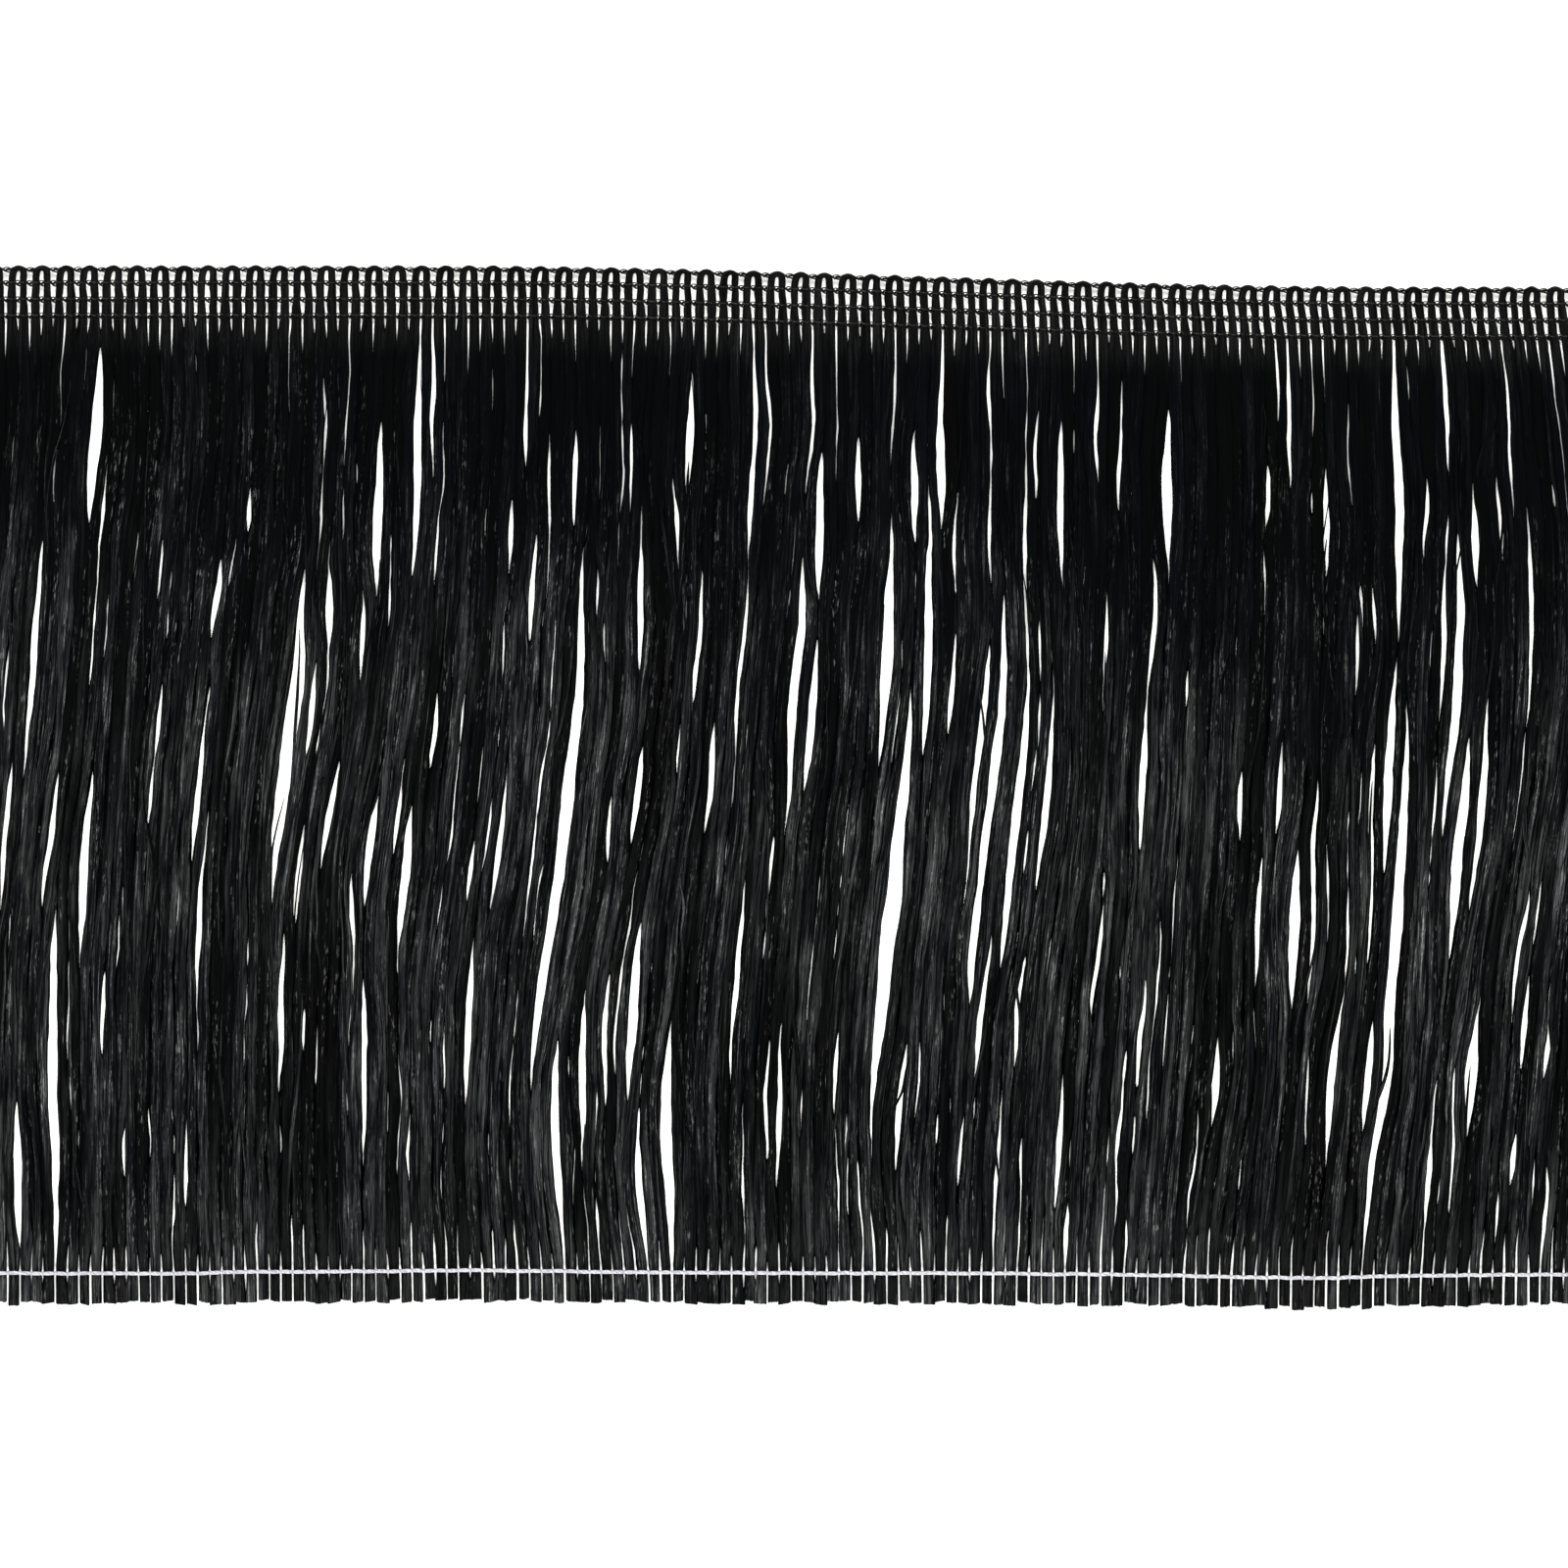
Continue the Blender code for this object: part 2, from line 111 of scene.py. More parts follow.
SWAY_STATIONS = (-141, -96, -41, 25, 124, 151)
SWAY = tuple(SwayRow(*row) for row in (
    (95, 0.0, 0.0, 0.0, 0.0, 0.0, 0.0), (75, 0.2, -0.2, 0.0, 0.0, 0.8, 2.0),
    (53, -2.2, -1.0, -1.0, -0.4, 1.4, 4.4), (33, -4.0, -3.0, -1.6, -0.8, 0.6, 4.8),
    (21, -5.0, -4.2, -2.2, -1.2, -0.4, 4.0), (1, -6.2, -7.0, -4.4, -2.6, -1.0, 1.0),
    (-19, -7.8, -8.8, -7.0, -4.8, -1.8, -1.6), (-39, -9.2, -9.2, -9.6, -7.0, -2.8, -4.0),
    (-59, -9.8, -9.2, -10.8, -8.6, -4.4, -6.0), (-79, -10.0, -9.6, -10.6, -9.4, -6.8, -7.6),
    (-98, -9.4, -9.2, -9.2, -9.1, -8.9, -8.9), (-107, -9.2, -9.1, -9.1, -9.1, -9.0, -9.0),
))

HOLDING_LINE = tuple(LinePoint(*row) for row in (
    (-175, -99.1), (-125, -99.1), (-100, -98.7), (-60, -98.5), (-13, -99.0),
    (35, -99.1), (67, -99.3), (107, -100.1), (131, -99.5), (175, -99.2),
))

PARTINGS = tuple(Parting(*row) for row in (
    (-141.6, 91, 53, 2.6), (-83.6, 76, 31, 2.2), (-76.4, 92, 41, 2.0), (-44.0, 74, 53, 1.3),
    (-57.0, 60, 42, 1.3), (-20.6, 86, 55, 1.9), (-6.6, 93, 52, 1.2), (6.4, 69, 37, 2.0),
    (14.6, 72, 53, 1.4), (25.0, 74, 49, 1.8), (30.8, 81, 52, 2.2), (55.0, 76, 41, 1.5),
    (77.0, 78, 45, 2.5), (109.4, 66, 41, 1.6), (124.8, 91, 31, 2.3), (133.0, 92, 63, 1.1),
    (139.4, 60, 40, 1.6), (-102.0, 46, -25, 3.4), (-93.8, 45, 29, 1.8), (-154.2, 53, 1, 1.3),
    (-45.8, 51, -65, 2.8), (-30.6, 49, 23, 1.7), (1.8, 49, -5, 2.2), (4.4, 31, -2, 1.9),
    (19.8, 54, 2, 2.6), (28.0, 49, 5, 2.0), (20.6, 19, -72, 3.2), (39.4, 31, -17, 1.7),
    (42.4, 41, -31, 2.2), (45.0, 25, -39, 2.1), (52.4, 19, -23, 1.8), (36.8, -17, -45, 2.2),
    (72.2, 21, -14, 1.6), (116.4, 42, 18, 1.7), (123.4, 25, -19, 2.3), (122.4, 21, -97, 2.6),
    (135.4, 55, -13, 2.0), (135.6, 12, -36, 2.6), (141.6, 20, -27, 1.7), (119.0, 11, -39, 1.4),
    (99.6, 13, -11, 2.0), (102.6, -12, -46, 2.5), (107.2, 5, -45, 1.4), (-144.0, 5, -39, 1.9),
    (-150.8, -22, -97, 2.3), (-85.0, 1, -25, 1.8), (-79.2, -2, -33, 2.0), (-58.8, 4, -27, 1.5),
    (-31.2, 9, -13, 1.7), (-32.0, -26, -65, 2.2), (-43.0, -41, -73, 1.6), (-47.4, -50, -97, 2.1),
    (-65.6, -31, -65, 1.5), (-25.6, -45, -98, 2.6), (-30.0, -65, -98, 1.8), (-86.8, -39, -79, 1.5),
    (-156.8, -63, -95, 1.9), (22.2, -51, -79, 1.8), (87.0, -51, -70, 1.9), (111.4, -43, -78, 1.7),
    (117.6, -46, -71, 1.8), (139.2, -45, -72, 2.4),
))

NARROW_SLITS = tuple(NarrowSlit(*row) for row in (
    (-96.2, 14, 42, 1.0), (-71.8, 0, 30, 1.1), (-53.2, 4, 31, 0.8), (5.2, 0, 32, 0.9),
    (31.8, 0, 17, 1.4), (40.6, 6, 22, 1.0), (48.2, 28, 72, 1.0), (62.6, 10, 33, 0.8),
    (66.8, 17, 35, 1.0), (98.0, 26, 38, 1.4), (102.4, 0, 28, 1.1), (129.6, 28, 43, 1.2),
    (147.4, 2, 36, 0.8), (151.6, 36, 74, 1.1), (-116.6, 49, 64, 1.6), (-86.4, 55, 72, 1.2),
    (-51.4, 44, 64, 1.2), (-19.6, 52, 76, 1.0), (-10.6, 53, 90, 1.1), (33.8, 62, 81, 1.3),
    (73.6, 46, 70, 1.2), (132.8, 46, 76, 1.4), (38.0, 124, 158, 1.4), (62.0, 116, 138, 1.2),
    (96.2, 107, 130, 1.5), (92.2, 88, 101, 1.5), (148.2, 113, 135, 1.5), (-130.2, 75, 88, 1.5),
    (-121.6, 86, 108, 1.5), (-120.6, 108, 140, 1.3), (-159.0, 90, 118, 1.2), (-151.6, 93, 118, 1.5),
    (-97.2, 70, 88, 1.5), (-100.0, 103, 122, 1.5), (-65.4, 107, 118, 1.2), (-17.2, 82, 102, 1.5),
    (-9.8, 117, 150, 1.4), (-36.8, 134, 158, 1.2), (-1.6, 144, 174, 1.3), (-104.8, 126, 155, 1.4),
    (-122.4, 162, 180, 1.0), (-140.8, 134, 149, 1.0), (46.4, 128, 148, 1.4), (54.8, 150, 176, 1.0),
    (72.8, 132, 151, 1.2), (43.2, 156, 180, 1.1), (149.0, 130, 147, 1.2), (131.0, 164, 179, 1.3),
    (-140.6, 30, 56, 0.7), (-48.2, 23, 42, 0.8), (-70.8, 40, 53, 1.0), (-31.4, 20, 38, 0.7),
    (-3.4, 0, 36, 0.8), (-9.0, 28, 46, 0.8), (21.4, 0, 25, 0.7), (50.8, 17, 33, 0.8),
    (40.8, 29, 51, 0.9), (33.8, 33, 52, 0.9), (100.4, 0, 17, 0.8), (113.2, 17, 33, 0.7),
    (144.2, 26, 46, 0.8), (-110.8, 34, 43, 1.0), (-22.8, 33, 50, 0.9), (27.6, 31, 52, 1.0),
    (65.0, 52, 74, 0.9), (-136.8, 115, 128, 1.2), (-94.8, 91, 110, 1.5), (-90.2, 112, 127, 1.4),
    (-81.0, 95, 108, 1.1), (-72.8, 77, 91, 1.2), (-36.4, 97, 110, 1.2), (-4.0, 104, 120, 1.0),
    (-98.4, 140, 150, 0.9), (-76.8, 162, 176, 1.0), (-5.0, 146, 168, 0.9), (10.0, 144, 158, 1.0),
    (13.0, 160, 180, 0.8), (36.0, 160, 172, 1.1), (56.2, 176, 190, 1.2), (68.4, 155, 169, 1.0),
    (105.4, 144, 166, 0.9), (153.6, 141, 150, 1.2), (146.6, 162, 172, 1.3), (143.6, 173, 184, 1.0),
    (155.0, 168, 190, 1.0),
))


def ease(value: np.ndarray, start: float, end: float) -> np.ndarray:
    """Rise smoothly from 0 at start to 1 at end, as 3t^2 - 2t^3."""
    share = np.clip((np.asarray(value, float) - start) / (end - start), 0.0, 1.0)
    return share * share * (3.0 - 2.0 * share)


def mix(low: float | np.ndarray, high: float | np.ndarray, share: np.ndarray) -> np.ndarray:
    """Go evenly from low to high as the share goes from 0 to 1."""
    return low + (high - low) * share


def lens(share: np.ndarray, fullness: float) -> np.ndarray:
    """Half a sine wave from share 0 to 1, raised to a power that makes it fuller below 1."""
    return np.sin(math.pi * np.clip(share, 0.0, 1.0)) ** fullness


def bell(steps: np.ndarray, width: float) -> np.ndarray:
    """Bell-shaped weights, 1 in the middle."""
    return np.exp(-0.5 * (steps / width) ** 2)


def distance_along(path: np.ndarray) -> np.ndarray:
    """Add up the steps along each path of shape (paths, places, axes)."""
    step = np.linalg.norm(np.diff(path, axis=1), axis=-1)
    return np.concatenate([np.zeros((len(path), 1)), np.cumsum(step, axis=1)], axis=1)


def soft_noise(rng: np.random.Generator, lines: int, share: np.ndarray, knots: int) -> np.ndarray:
    """Draw smooth random curves: random knots from -1 to 1, with an eased blend between each two.

    Args:
        rng: source of the random knots.
        lines: number of curves.
        share: places along the curves, from 0 to 1.
        knots: number of knots on each curve.

    Returns:
        Array of shape (places, lines).
    """
    values = rng.uniform(-1.0, 1.0, (knots + 1, lines))
    place = np.clip(share, 0.0, 1.0) * (knots - 1)
    low = np.minimum(place.astype(int), knots - 2)
    blend = ease(place - low, 0.0, 1.0)[:, None]
    return values[low] * (1.0 - blend) + values[low + 1] * blend


@dataclass(frozen=True)
class LegRun:
    """Where all the legs run. Each array has a row for each place along the legs.

    Attributes:
        share: way along a leg from the root line (0) to its cut end (1), shape (places,).
        x, y: the legs' centre lines, shape (places, legs).
        spacing: distance between neighbours less what parts them, shape (places, legs + 1).
        opening: width that each slit is parted to, shape (places, legs - 1).
    """

    share: np.ndarray
    x: np.ndarray
    y: np.ndarray
    spacing: np.ndarray
    opening: np.ndarray

    def slit_middles(self) -> tuple[np.ndarray, np.ndarray]:
        """Places halfway between neighbouring legs, as x and y of shape (places, legs - 1)."""
        return 0.5 * (self.x[:, 1:] + self.x[:, :-1]), 0.5 * (self.y[:, 1:] + self.y[:, :-1])


@dataclass(frozen=True)
class SettledParting:
    """A parting with the slit that lies nearest to it, and how far that slit misses its place."""

    x: float
    top: float
    bottom: float
    width: float
    slit: int = 0
    miss: float = 0.0


@dataclass(frozen=True)
class FringeLayout:
    """The fringe's plan: its heading lines, and the drift, wander and partings of its legs.

    The plan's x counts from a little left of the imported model's middle, which lies at centre_x.
    """

    loop_count: int = 70
    pitch: float = 2.42 * MM
    heading_middle_x: float = 4.6 * MM
    centre_x: float = 2.0 * MM
    peak: float = 106.5 * MM
    heading_height: float = 11.4 * MM
    heading_drop: float = 4.3 * MM
    drop_start_x: float = -72.0 * MM
    drop_end_x: float = 128.0 * MM
    lean_at_right: float = 1.2 * MM
    lean_start_x: float = -30.0 * MM
    lean_end_x: float = 140.0 * MM
    hump_lean: float = 0.2 * MM
    stitch_rows: tuple[float, ...] = (0.8 * MM, 3.5 * MM, 6.85 * MM, 10.2 * MM)
    tip_below_thread: float = 6.1 * MM
    tip_ragged: float = 0.45 * MM
    tip_spread: float = 0.22 * MM
    tip_zone: float = 0.93
    wander: float = 0.22 * MM
    wander_knots: int = 9
    flutter: float = 0.11 * MM
    flutter_knots: int = 30
    lens_fullness: float = 0.8
    crowding_reach: int = 14
    crowding_width: float = 5.0
    steering_legs: float = 3.0
    steering_margin: float = 6.0 * MM
    steering_length: float = 0.35
    steering_rise: float = 2.5
    drift_starts: float = 0.02
    smoothing: float = 2.2
    smoothing_reach: int = 6
    seed: int = 7

    @property
    def leg_count(self) -> int:
        """Number of legs, two for each loop."""
        return 2 * self.loop_count

    @property
    def root_x(self) -> np.ndarray:
        """Places of the legs along the root line."""
        legs = np.arange(self.leg_count)
        return self.heading_middle_x + (legs - 0.5 * (self.leg_count - 1)) * self.pitch

    def peak_y(self, x: np.ndarray) -> np.ndarray:
        """Height of the humps' peaks: level at the left, and lower to the right."""
        return self.peak - self.heading_drop * ease(x, self.drop_start_x, self.drop_end_x)

    def root_y(self, x: np.ndarray) -> np.ndarray:
        """Line along which the legs leave the heading."""
        return self.peak_y(x) - self.heading_height

    def lean(self, x: np.ndarray) -> np.ndarray:
        """How far a leg moves to the right on its way down through the heading."""
        return self.lean_at_right * ease(x, self.lean_start_x, self.lean_end_x)

    def heading_x(self, x: np.ndarray, below_peak: np.ndarray) -> np.ndarray:
        """Place in the heading, at a depth below the peaks, of what meets the root line at x."""
        return x - self.lean(x) * (1.0 - below_peak / self.heading_height)

    def holding_y(self, x: np.ndarray) -> np.ndarray:
        """Line of the white holding thread."""
        line = np.array(HOLDING_LINE) * MM
        return np.interp(x, line[:, 0], line[:, 1])

    def sway(self, y: np.ndarray) -> np.ndarray:
        """Sideways drift of each leg at its own heights.

        The drift is read along the table's row for the leg's root, and then between rows.

        Args:
            y: heights, shape (places, legs).

        Returns:
            Drift, shape (places, legs).
        """
        table = np.array(SWAY) * MM
        stations = np.array(SWAY_STATIONS) * MM
        at_root = np.stack([np.interp(self.root_x, stations, row[1:]) for row in table])
        columns = [np.interp(-y[:, leg], -table[:, 0], at_root[:, leg]) for leg in range(self.leg_count)]
        return np.stack(columns, axis=1)

    def smoothed(self, values: np.ndarray, reach: int, width: float) -> np.ndarray:
        """Blend each row of values with the rows around it, by bell-shaped weights.

        Args:
            values: array of shape (rows, columns).
            reach: number of rows taken in on each side.
            width: width of the bell in rows.

        Returns:
            Blended values of the same shape.
        """
        steps = np.arange(-reach, reach + 1)
        weights = bell(steps, width)
        rows = np.arange(len(values))
        blended = sum(weight * values[np.clip(rows + step, 0, len(values) - 1)]
                      for step, weight in zip(steps, weights))
        return blended / weights.sum()

    def crowding(self, opening: np.ndarray) -> np.ndarray:
        """Shift of each leg that makes room for the openings.

        It is the openings' running sum from the left, less the same sum smoothed over the neighbours.

        Args:
            opening: width of each slit, shape (places, legs - 1).

        Returns:
            Shifts, shape (places, legs).
        """
        zero = np.zeros((opening.shape[0], 1))
        total = np.concatenate([zero, np.cumsum(opening, axis=1)], axis=1)
        return total - self.smoothed(total.T, self.crowding_reach, self.crowding_width).T

    def opened(self, y: np.ndarray, partings: list[SettledParting]) -> np.ndarray:
        """Width to which each slit is parted: a sine lens between each parting's top and bottom.

        Args:
            y: heights of the legs, shape (places, legs).
            partings: the partings.

        Returns:
            Widths, shape (places, legs - 1).
        """
        opening = np.zeros((y.shape[0], self.leg_count - 1))
        for parting in partings:
            slit = parting.slit
            share = (parting.top - y[:, slit]) / (parting.top - parting.bottom)
            opening[:, slit] = np.maximum(opening[:, slit], parting.width * lens(share, self.lens_fullness))
        return opening

    def settle(self) -> list[SettledParting]:
        """Find the slit nearest to each parting, first for even legs and then for crowded ones.

        Returns:
            The partings in metres, with their slits and misses.
        """
        partings = [SettledParting(*(value * MM for value in parting)) for parting in PARTINGS]
        for use_crowding in (False, True):
            settled = []
            for parting in partings:
                y = np.full((1, self.leg_count), 0.5 * (parting.top + parting.bottom))
                place = self.root_x + self.sway(y)[0]
                if use_crowding:
                    place = place + self.crowding(self.opened(y, partings))[0]
                misses = parting.x - 0.5 * (place[:-1] + place[1:])
                slit = int(np.argmin(np.abs(misses)))
                settled.append(replace(parting, slit=slit, miss=float(misses[slit])))
            partings = settled
        return partings

    def steering(self, y: np.ndarray, share: np.ndarray, partings: list[SettledParting]) -> np.ndarray:
        """Shift that brings the slits nearest to the partings to their places.

        Each parting pulls with a bell-shaped weight over its neighbours and past its ends.

        Args:
            y: heights of the legs, shape (places, legs).
            share: places along a leg.
            partings: the partings.

        Returns:
            Shifts, shape (places, legs).
        """
        legs = np.arange(self.leg_count)[None, :]
        pull = np.zeros_like(y)
        whole = np.zeros_like(y)
        for parting in partings:
            across = (legs - parting.slit - 0.5) / self.steering_legs
            reach = self.steering_margin + self.steering_length * (parting.top - parting.bottom)
            along = (y - 0.5 * (parting.top + parting.bottom)) / reach
            weight = np.exp(-0.5 * (across * across + along * along))
            pull += weight * parting.miss
            whole += weight
        freedom = np.minimum(1.0, self.steering_rise * np.sin(math.pi * share))[:, None]
        return freedom * pull / np.maximum(1.0, whole)

    def legs(self, share: np.ndarray) -> LegRun:
        """Lay all the legs.

        Args:
            share: places along a leg, from 0 at the root line to 1 at its cut end.

        Returns:
            The legs' centre lines, spacings and openings.
        """
        rng = np.random.default_rng(self.seed)
        partings = self.settle()
        root = self.root_x
        low = np.full((1, self.leg_count), HOLDING_LINE[0].y * MM)
        tip = self.holding_y(root + self.sway(low)[0]) - self.tip_below_thread
        top = self.root_y(root)
        at_tip = ease(share, self.tip_zone, 1.0)[:, None]
        ragged = rng.uniform(-self.tip_ragged, self.tip_ragged, self.leg_count)
        y = top + (tip - top) * share[:, None] + ragged * at_tip
        opening = self.opened(y, partings)
        drift = self.sway(y) + self.crowding(opening) + self.steering(y, share, partings)
        drift = drift * ease(share, 0.0, self.drift_starts)[:, None]
        free = np.sin(math.pi * share)[:, None]
        stray = self.wander * free * soft_noise(rng, self.leg_count, share, self.wander_knots)
        spread = at_tip * rng.uniform(-self.tip_spread, self.tip_spread, self.leg_count)
        stray = stray + self.flutter * free * soft_noise(rng, self.leg_count, share, self.flutter_knots)
        x = root + self.smoothed(drift, self.smoothing_reach, self.smoothing) + stray + spread
        between = x[:, 1:] - x[:, :-1] - opening
        edge = np.full((len(share), 1), self.pitch)
        spacing = np.concatenate([edge, between, edge], axis=1)
        return LegRun(share=share, x=x, y=y, spacing=spacing, opening=opening)


@dataclass(frozen=True)
class SweptShell:
    """Closed strips swept along paths.

    Attributes:
        points: ring points, shape (strips, sections, ring, 3).
        along: distance along each strip, shape (strips, sections).
        marks: named values for each section, each of shape (strips, sections).
    """

    points: np.ndarray
    along: np.ndarray
    marks: dict[str, np.ndarray]

    def faces(self) -> tuple[np.ndarray, np.ndarray]:
        """Index the quads of the walls and the rings that close both ends, all facing outwards.

        Returns:
            Quads of shape (count, 4), and caps of shape (2 x strips, ring).
        """
        strips, sections, ring, _ = self.points.shape
        index = np.arange(strips * sections * ring).reshape(strips, sections, ring)
        after = np.roll(index, -1, axis=2)
        quads = np.stack([index[:, :-1], after[:, :-1], after[:, 1:], index[:, 1:]], axis=-1)
        caps = np.concatenate([index[:, 0, ::-1], index[:, -1]], axis=0)
        return quads.reshape(-1, 4), caps

    def unwrapped(self) -> np.ndarray:
        """Work out the UV of each face corner: share round the ring, and metres along the strip.

        Returns:
            The values in the order of the faces, walls first and then caps.
        """
        strips, sections, ring, _ = self.points.shape
        u_low = np.arange(ring) / ring
        u_high = u_low + 1.0 / ring
        shape = (strips, sections - 1, ring)
        v_low = np.broadcast_to(self.along[:, :-1, None], shape)
        v_high = np.broadcast_to(self.along[:, 1:, None], shape)
        u_low = np.broadcast_to(u_low, shape)
        u_high = np.broadcast_to(u_high, shape)
        corners = np.stack([u_low, v_low, u_high, v_low, u_high, v_high, u_low, v_high], axis=-1)
        start = np.stack(np.broadcast_arrays(u_low[:, 0, ::-1], self.along[:, :1]), axis=-1)
        end = np.stack(np.broadcast_arrays(u_low[:, 0], self.along[:, -1:]), axis=-1)
        return np.concatenate([corners.reshape(-1), start.reshape(-1), end.reshape(-1)])

    def build(self, name: str, material: bpy.types.Material, creased: bool = False) -> bpy.types.Object:
        """Put the strips into one smooth mesh object.

        Args:
            name: name of the object.
            material: its finish.
            creased: whether the edges that run along the strips are sharp too, as the rims of both
                ends always are.

        Returns:
            The new object, at the origin.
        """
        quads, caps = self.faces()
        mesh = bpy.data.meshes.new(name)
        mesh.from_pydata(self.points.reshape(-1, 3).tolist(), [], quads.tolist() + caps.tolist())
        layer = mesh.uv_layers.new(name="yarn")
        layer.data.foreach_set("uv", self.unwrapped().astype(np.float32))
        ring = self.points.shape[2]
        for mark, values in self.marks.items():
            attribute = mesh.attributes.new(mark, "FLOAT", "POINT")
            attribute.data.foreach_set("value", np.repeat(values.reshape(-1), ring).astype(np.float32))
        mesh.shade_smooth()
        ends = np.empty(2 * len(mesh.edges), dtype=np.int32)
        mesh.edges.foreach_get("vertices", ends)
        sections = self.points.shape[1]
        section = (ends // ring) % sections
        rim = (section[::2] == section[1::2]) & np.isin(section[::2], (0, sections - 1))
        crease = (np.abs(ends[1::2] - ends[::2]) == ring) & creased
        sharp = mesh.attributes.new("sharp_edge", "BOOLEAN", "EDGE")
        sharp.data.foreach_set("value", rim | crease)
        mesh.materials.append(material)
        mesh.update()
        obj = bpy.data.objects.new(name, mesh)
        bpy.context.scene.collection.objects.link(obj)
        return obj


def settle_piece(piece: bpy.types.Object, node: str) -> None:
    """Fix a piece to the part's body, hide the solid that it stands for, and log its number of faces.

    Args:
        piece: the finished object.
        node: name of the solid that it takes the place of.
    """
    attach(piece, "root")
    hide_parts(node)
    LOG.info("%s: %d faces", piece.name, len(piece.data.polygons))


@dataclass(frozen=True)
class LoopPath:
    """Centre lines and sizes of all loops. Each array has a row for each loop and a column for each section.

    Attributes:
        x, y: places of the centre line.
        side: direction to the yarn's outer edge, shape (loops, sections, 2).
        outer, inner: reach of the yarn to its outer and inner edge.
        drop: way down a leg from the root line (0) to its cut end (1), and 0 in the heading.
        pressed: share by which a row of stitches presses the yarn down.
    """

    x: np.ndarray
    y: np.ndarray
    side: np.ndarray
    outer: np.ndarray
    inner: np.ndarray
    drop: np.ndarray
    pressed: np.ndarray


@dataclass(frozen=True)
class RaffiaYarn:
    """The looped raffia: legs folded lengthwise, gathered in the heading and turned over in humps."""

    layout: FringeLayout
    leg_places: int = 112
    leg_bunching: float = 0.15
    heading_places: int = 12
    top_points: int = 11
    under_points: int = 4
    piece_count: int = 4

    overlap: float = 0.34 * MM
    overlap_share: float = 0.9
    overlap_knots: int = 14
    widest_half: float = 1.6 * MM
    narrowest_half: float = 0.42 * MM
    tight_half: float = 0.785 * MM
    root_half: float = 1.02 * MM
    outermost_half: float = 1.15 * MM
    tight_spread: float = 0.14 * MM
    tight_knots: int = 4
    tight_bow: float = 1.5
    row_pinch: float = 0.04 * MM
    lean_in: float = 0.1 * MM
    lean_in_ends: float = 6.0 * MM
    heading_stray: float = 0.12 * MM
    heading_stray_knots: int = 6
    row_reach: float = 0.7 * MM

    edge_ripple: float = 0.12 * MM
    ripple_knots: int = 80
    edge_wave: float = 0.16 * MM
    wave_knots: int = 26
    edge_starts: float = 0.01
    edge_full: float = 0.1
    held_edge: float = 0.15
    held_starts: float = 0.92
    held_full: float = 0.97
    seam_shift: float = 0.42 * MM
    seam_knots: int = 20
    parted_seam: float = 0.3
    slit_edge: float = 0.1 * MM
    opening_edge: float = 0.4 * MM
    gap_cover: float = 0.5 * MM

    slit_scale: float = 0.74
    slit_stretch: float = 1.25
    slit_fullness: float = 1.2
    small_slits: int = 90
    small_slit_mm: tuple[float, float] = (6.0, 20.0)
    long_slits: int = 72
    long_slit_mm: tuple[float, float] = (24.0, 70.0)
    random_width_mm: tuple[float, float] = (0.11, 0.32)
    random_fullness: float = 0.8
    random_start: float = 0.02
    random_zone: float = 0.8
    random_bias: float = 1.1
    root_tails: int = 24
    tail_mm: tuple[float, float] = (12.0, 60.0)
    tail_width_mm: tuple[float, float] = (0.08, 0.24)
    tail_bow: float = 0.6
    root_taper_short: float = 3.0 * MM
    root_taper_long: float = 16.0 * MM
    root_taper_bias: float = 2.2
    root_bow: float = 0.7
    thread_slit: float = 0.42 * MM
    thread_slit_change: tuple[float, float] = (0.6, 1.3)
    thread_up_mm: tuple[float, float] = (3.0, 6.0)
    thread_far_up: float = 12.0 * MM
    thread_up_bias: int = 3
    open_end_share: float = 0.62
    open_down_mm: tuple[float, float] = (10.0, 30.0)
    closed_down_mm: tuple[float, float] = (2.2, 4.4)

    crown_depth: float = 2.6 * MM
    hump_change: float = 0.1
    hump_shift: float = 0.18 * MM

    loose_full: float = 0.05
    crumple_starts: float = 0.12
    crumple_full: float = 0.5
    flat_starts: float = 0.9
    flat_full: float = 0.96
    heading_level: float = 0.2 * MM
    leg_level: float = 0.55 * MM
    level_swing: float = 0.45 * MM
    level_knots: int = 22
    held_calm: float = 0.85
    heading_thickness: float = 0.6 * MM
    flat_thickness: float = 0.5 * MM
    leg_thickness: float = 0.95 * MM
    thickness_swing: float = 0.3
    thickness_knots: int = 30
    press_depth: float = 0.16 * MM
    heading_fullness: float = 2.8
    flat_fullness: float = 4.0
    leg_fullness: float = 2.5
    heading_fall: float = 0.7
    flat_fall: float = 0.06
    leg_fall: float = 1.0
    held_thinning: float = 0.4

    wide_folds: int = 4
    wide_fold_height: float = 0.42 * MM
    wide_fold_knots: int = 50
    twist_height: float = 0.3 * MM
    small_fold_height: float = 0.1 * MM
    small_fold_knots: int = 110
    smooth_small_folds: float = 0.3
    heading_folds: float = 0.4
    smooth_folds: float = 0.15
    edge_folds: float = 0.25
    under_reach: float = 0.82
    under_share: float = 0.3
    under_curl: float = 0.2
    thinnest: float = 0.06 * MM
    cut_slant: float = 0.24 * MM
    cut_fray: float = 0.14 * MM
    tone_knots: int = 9
    seed: int = 21

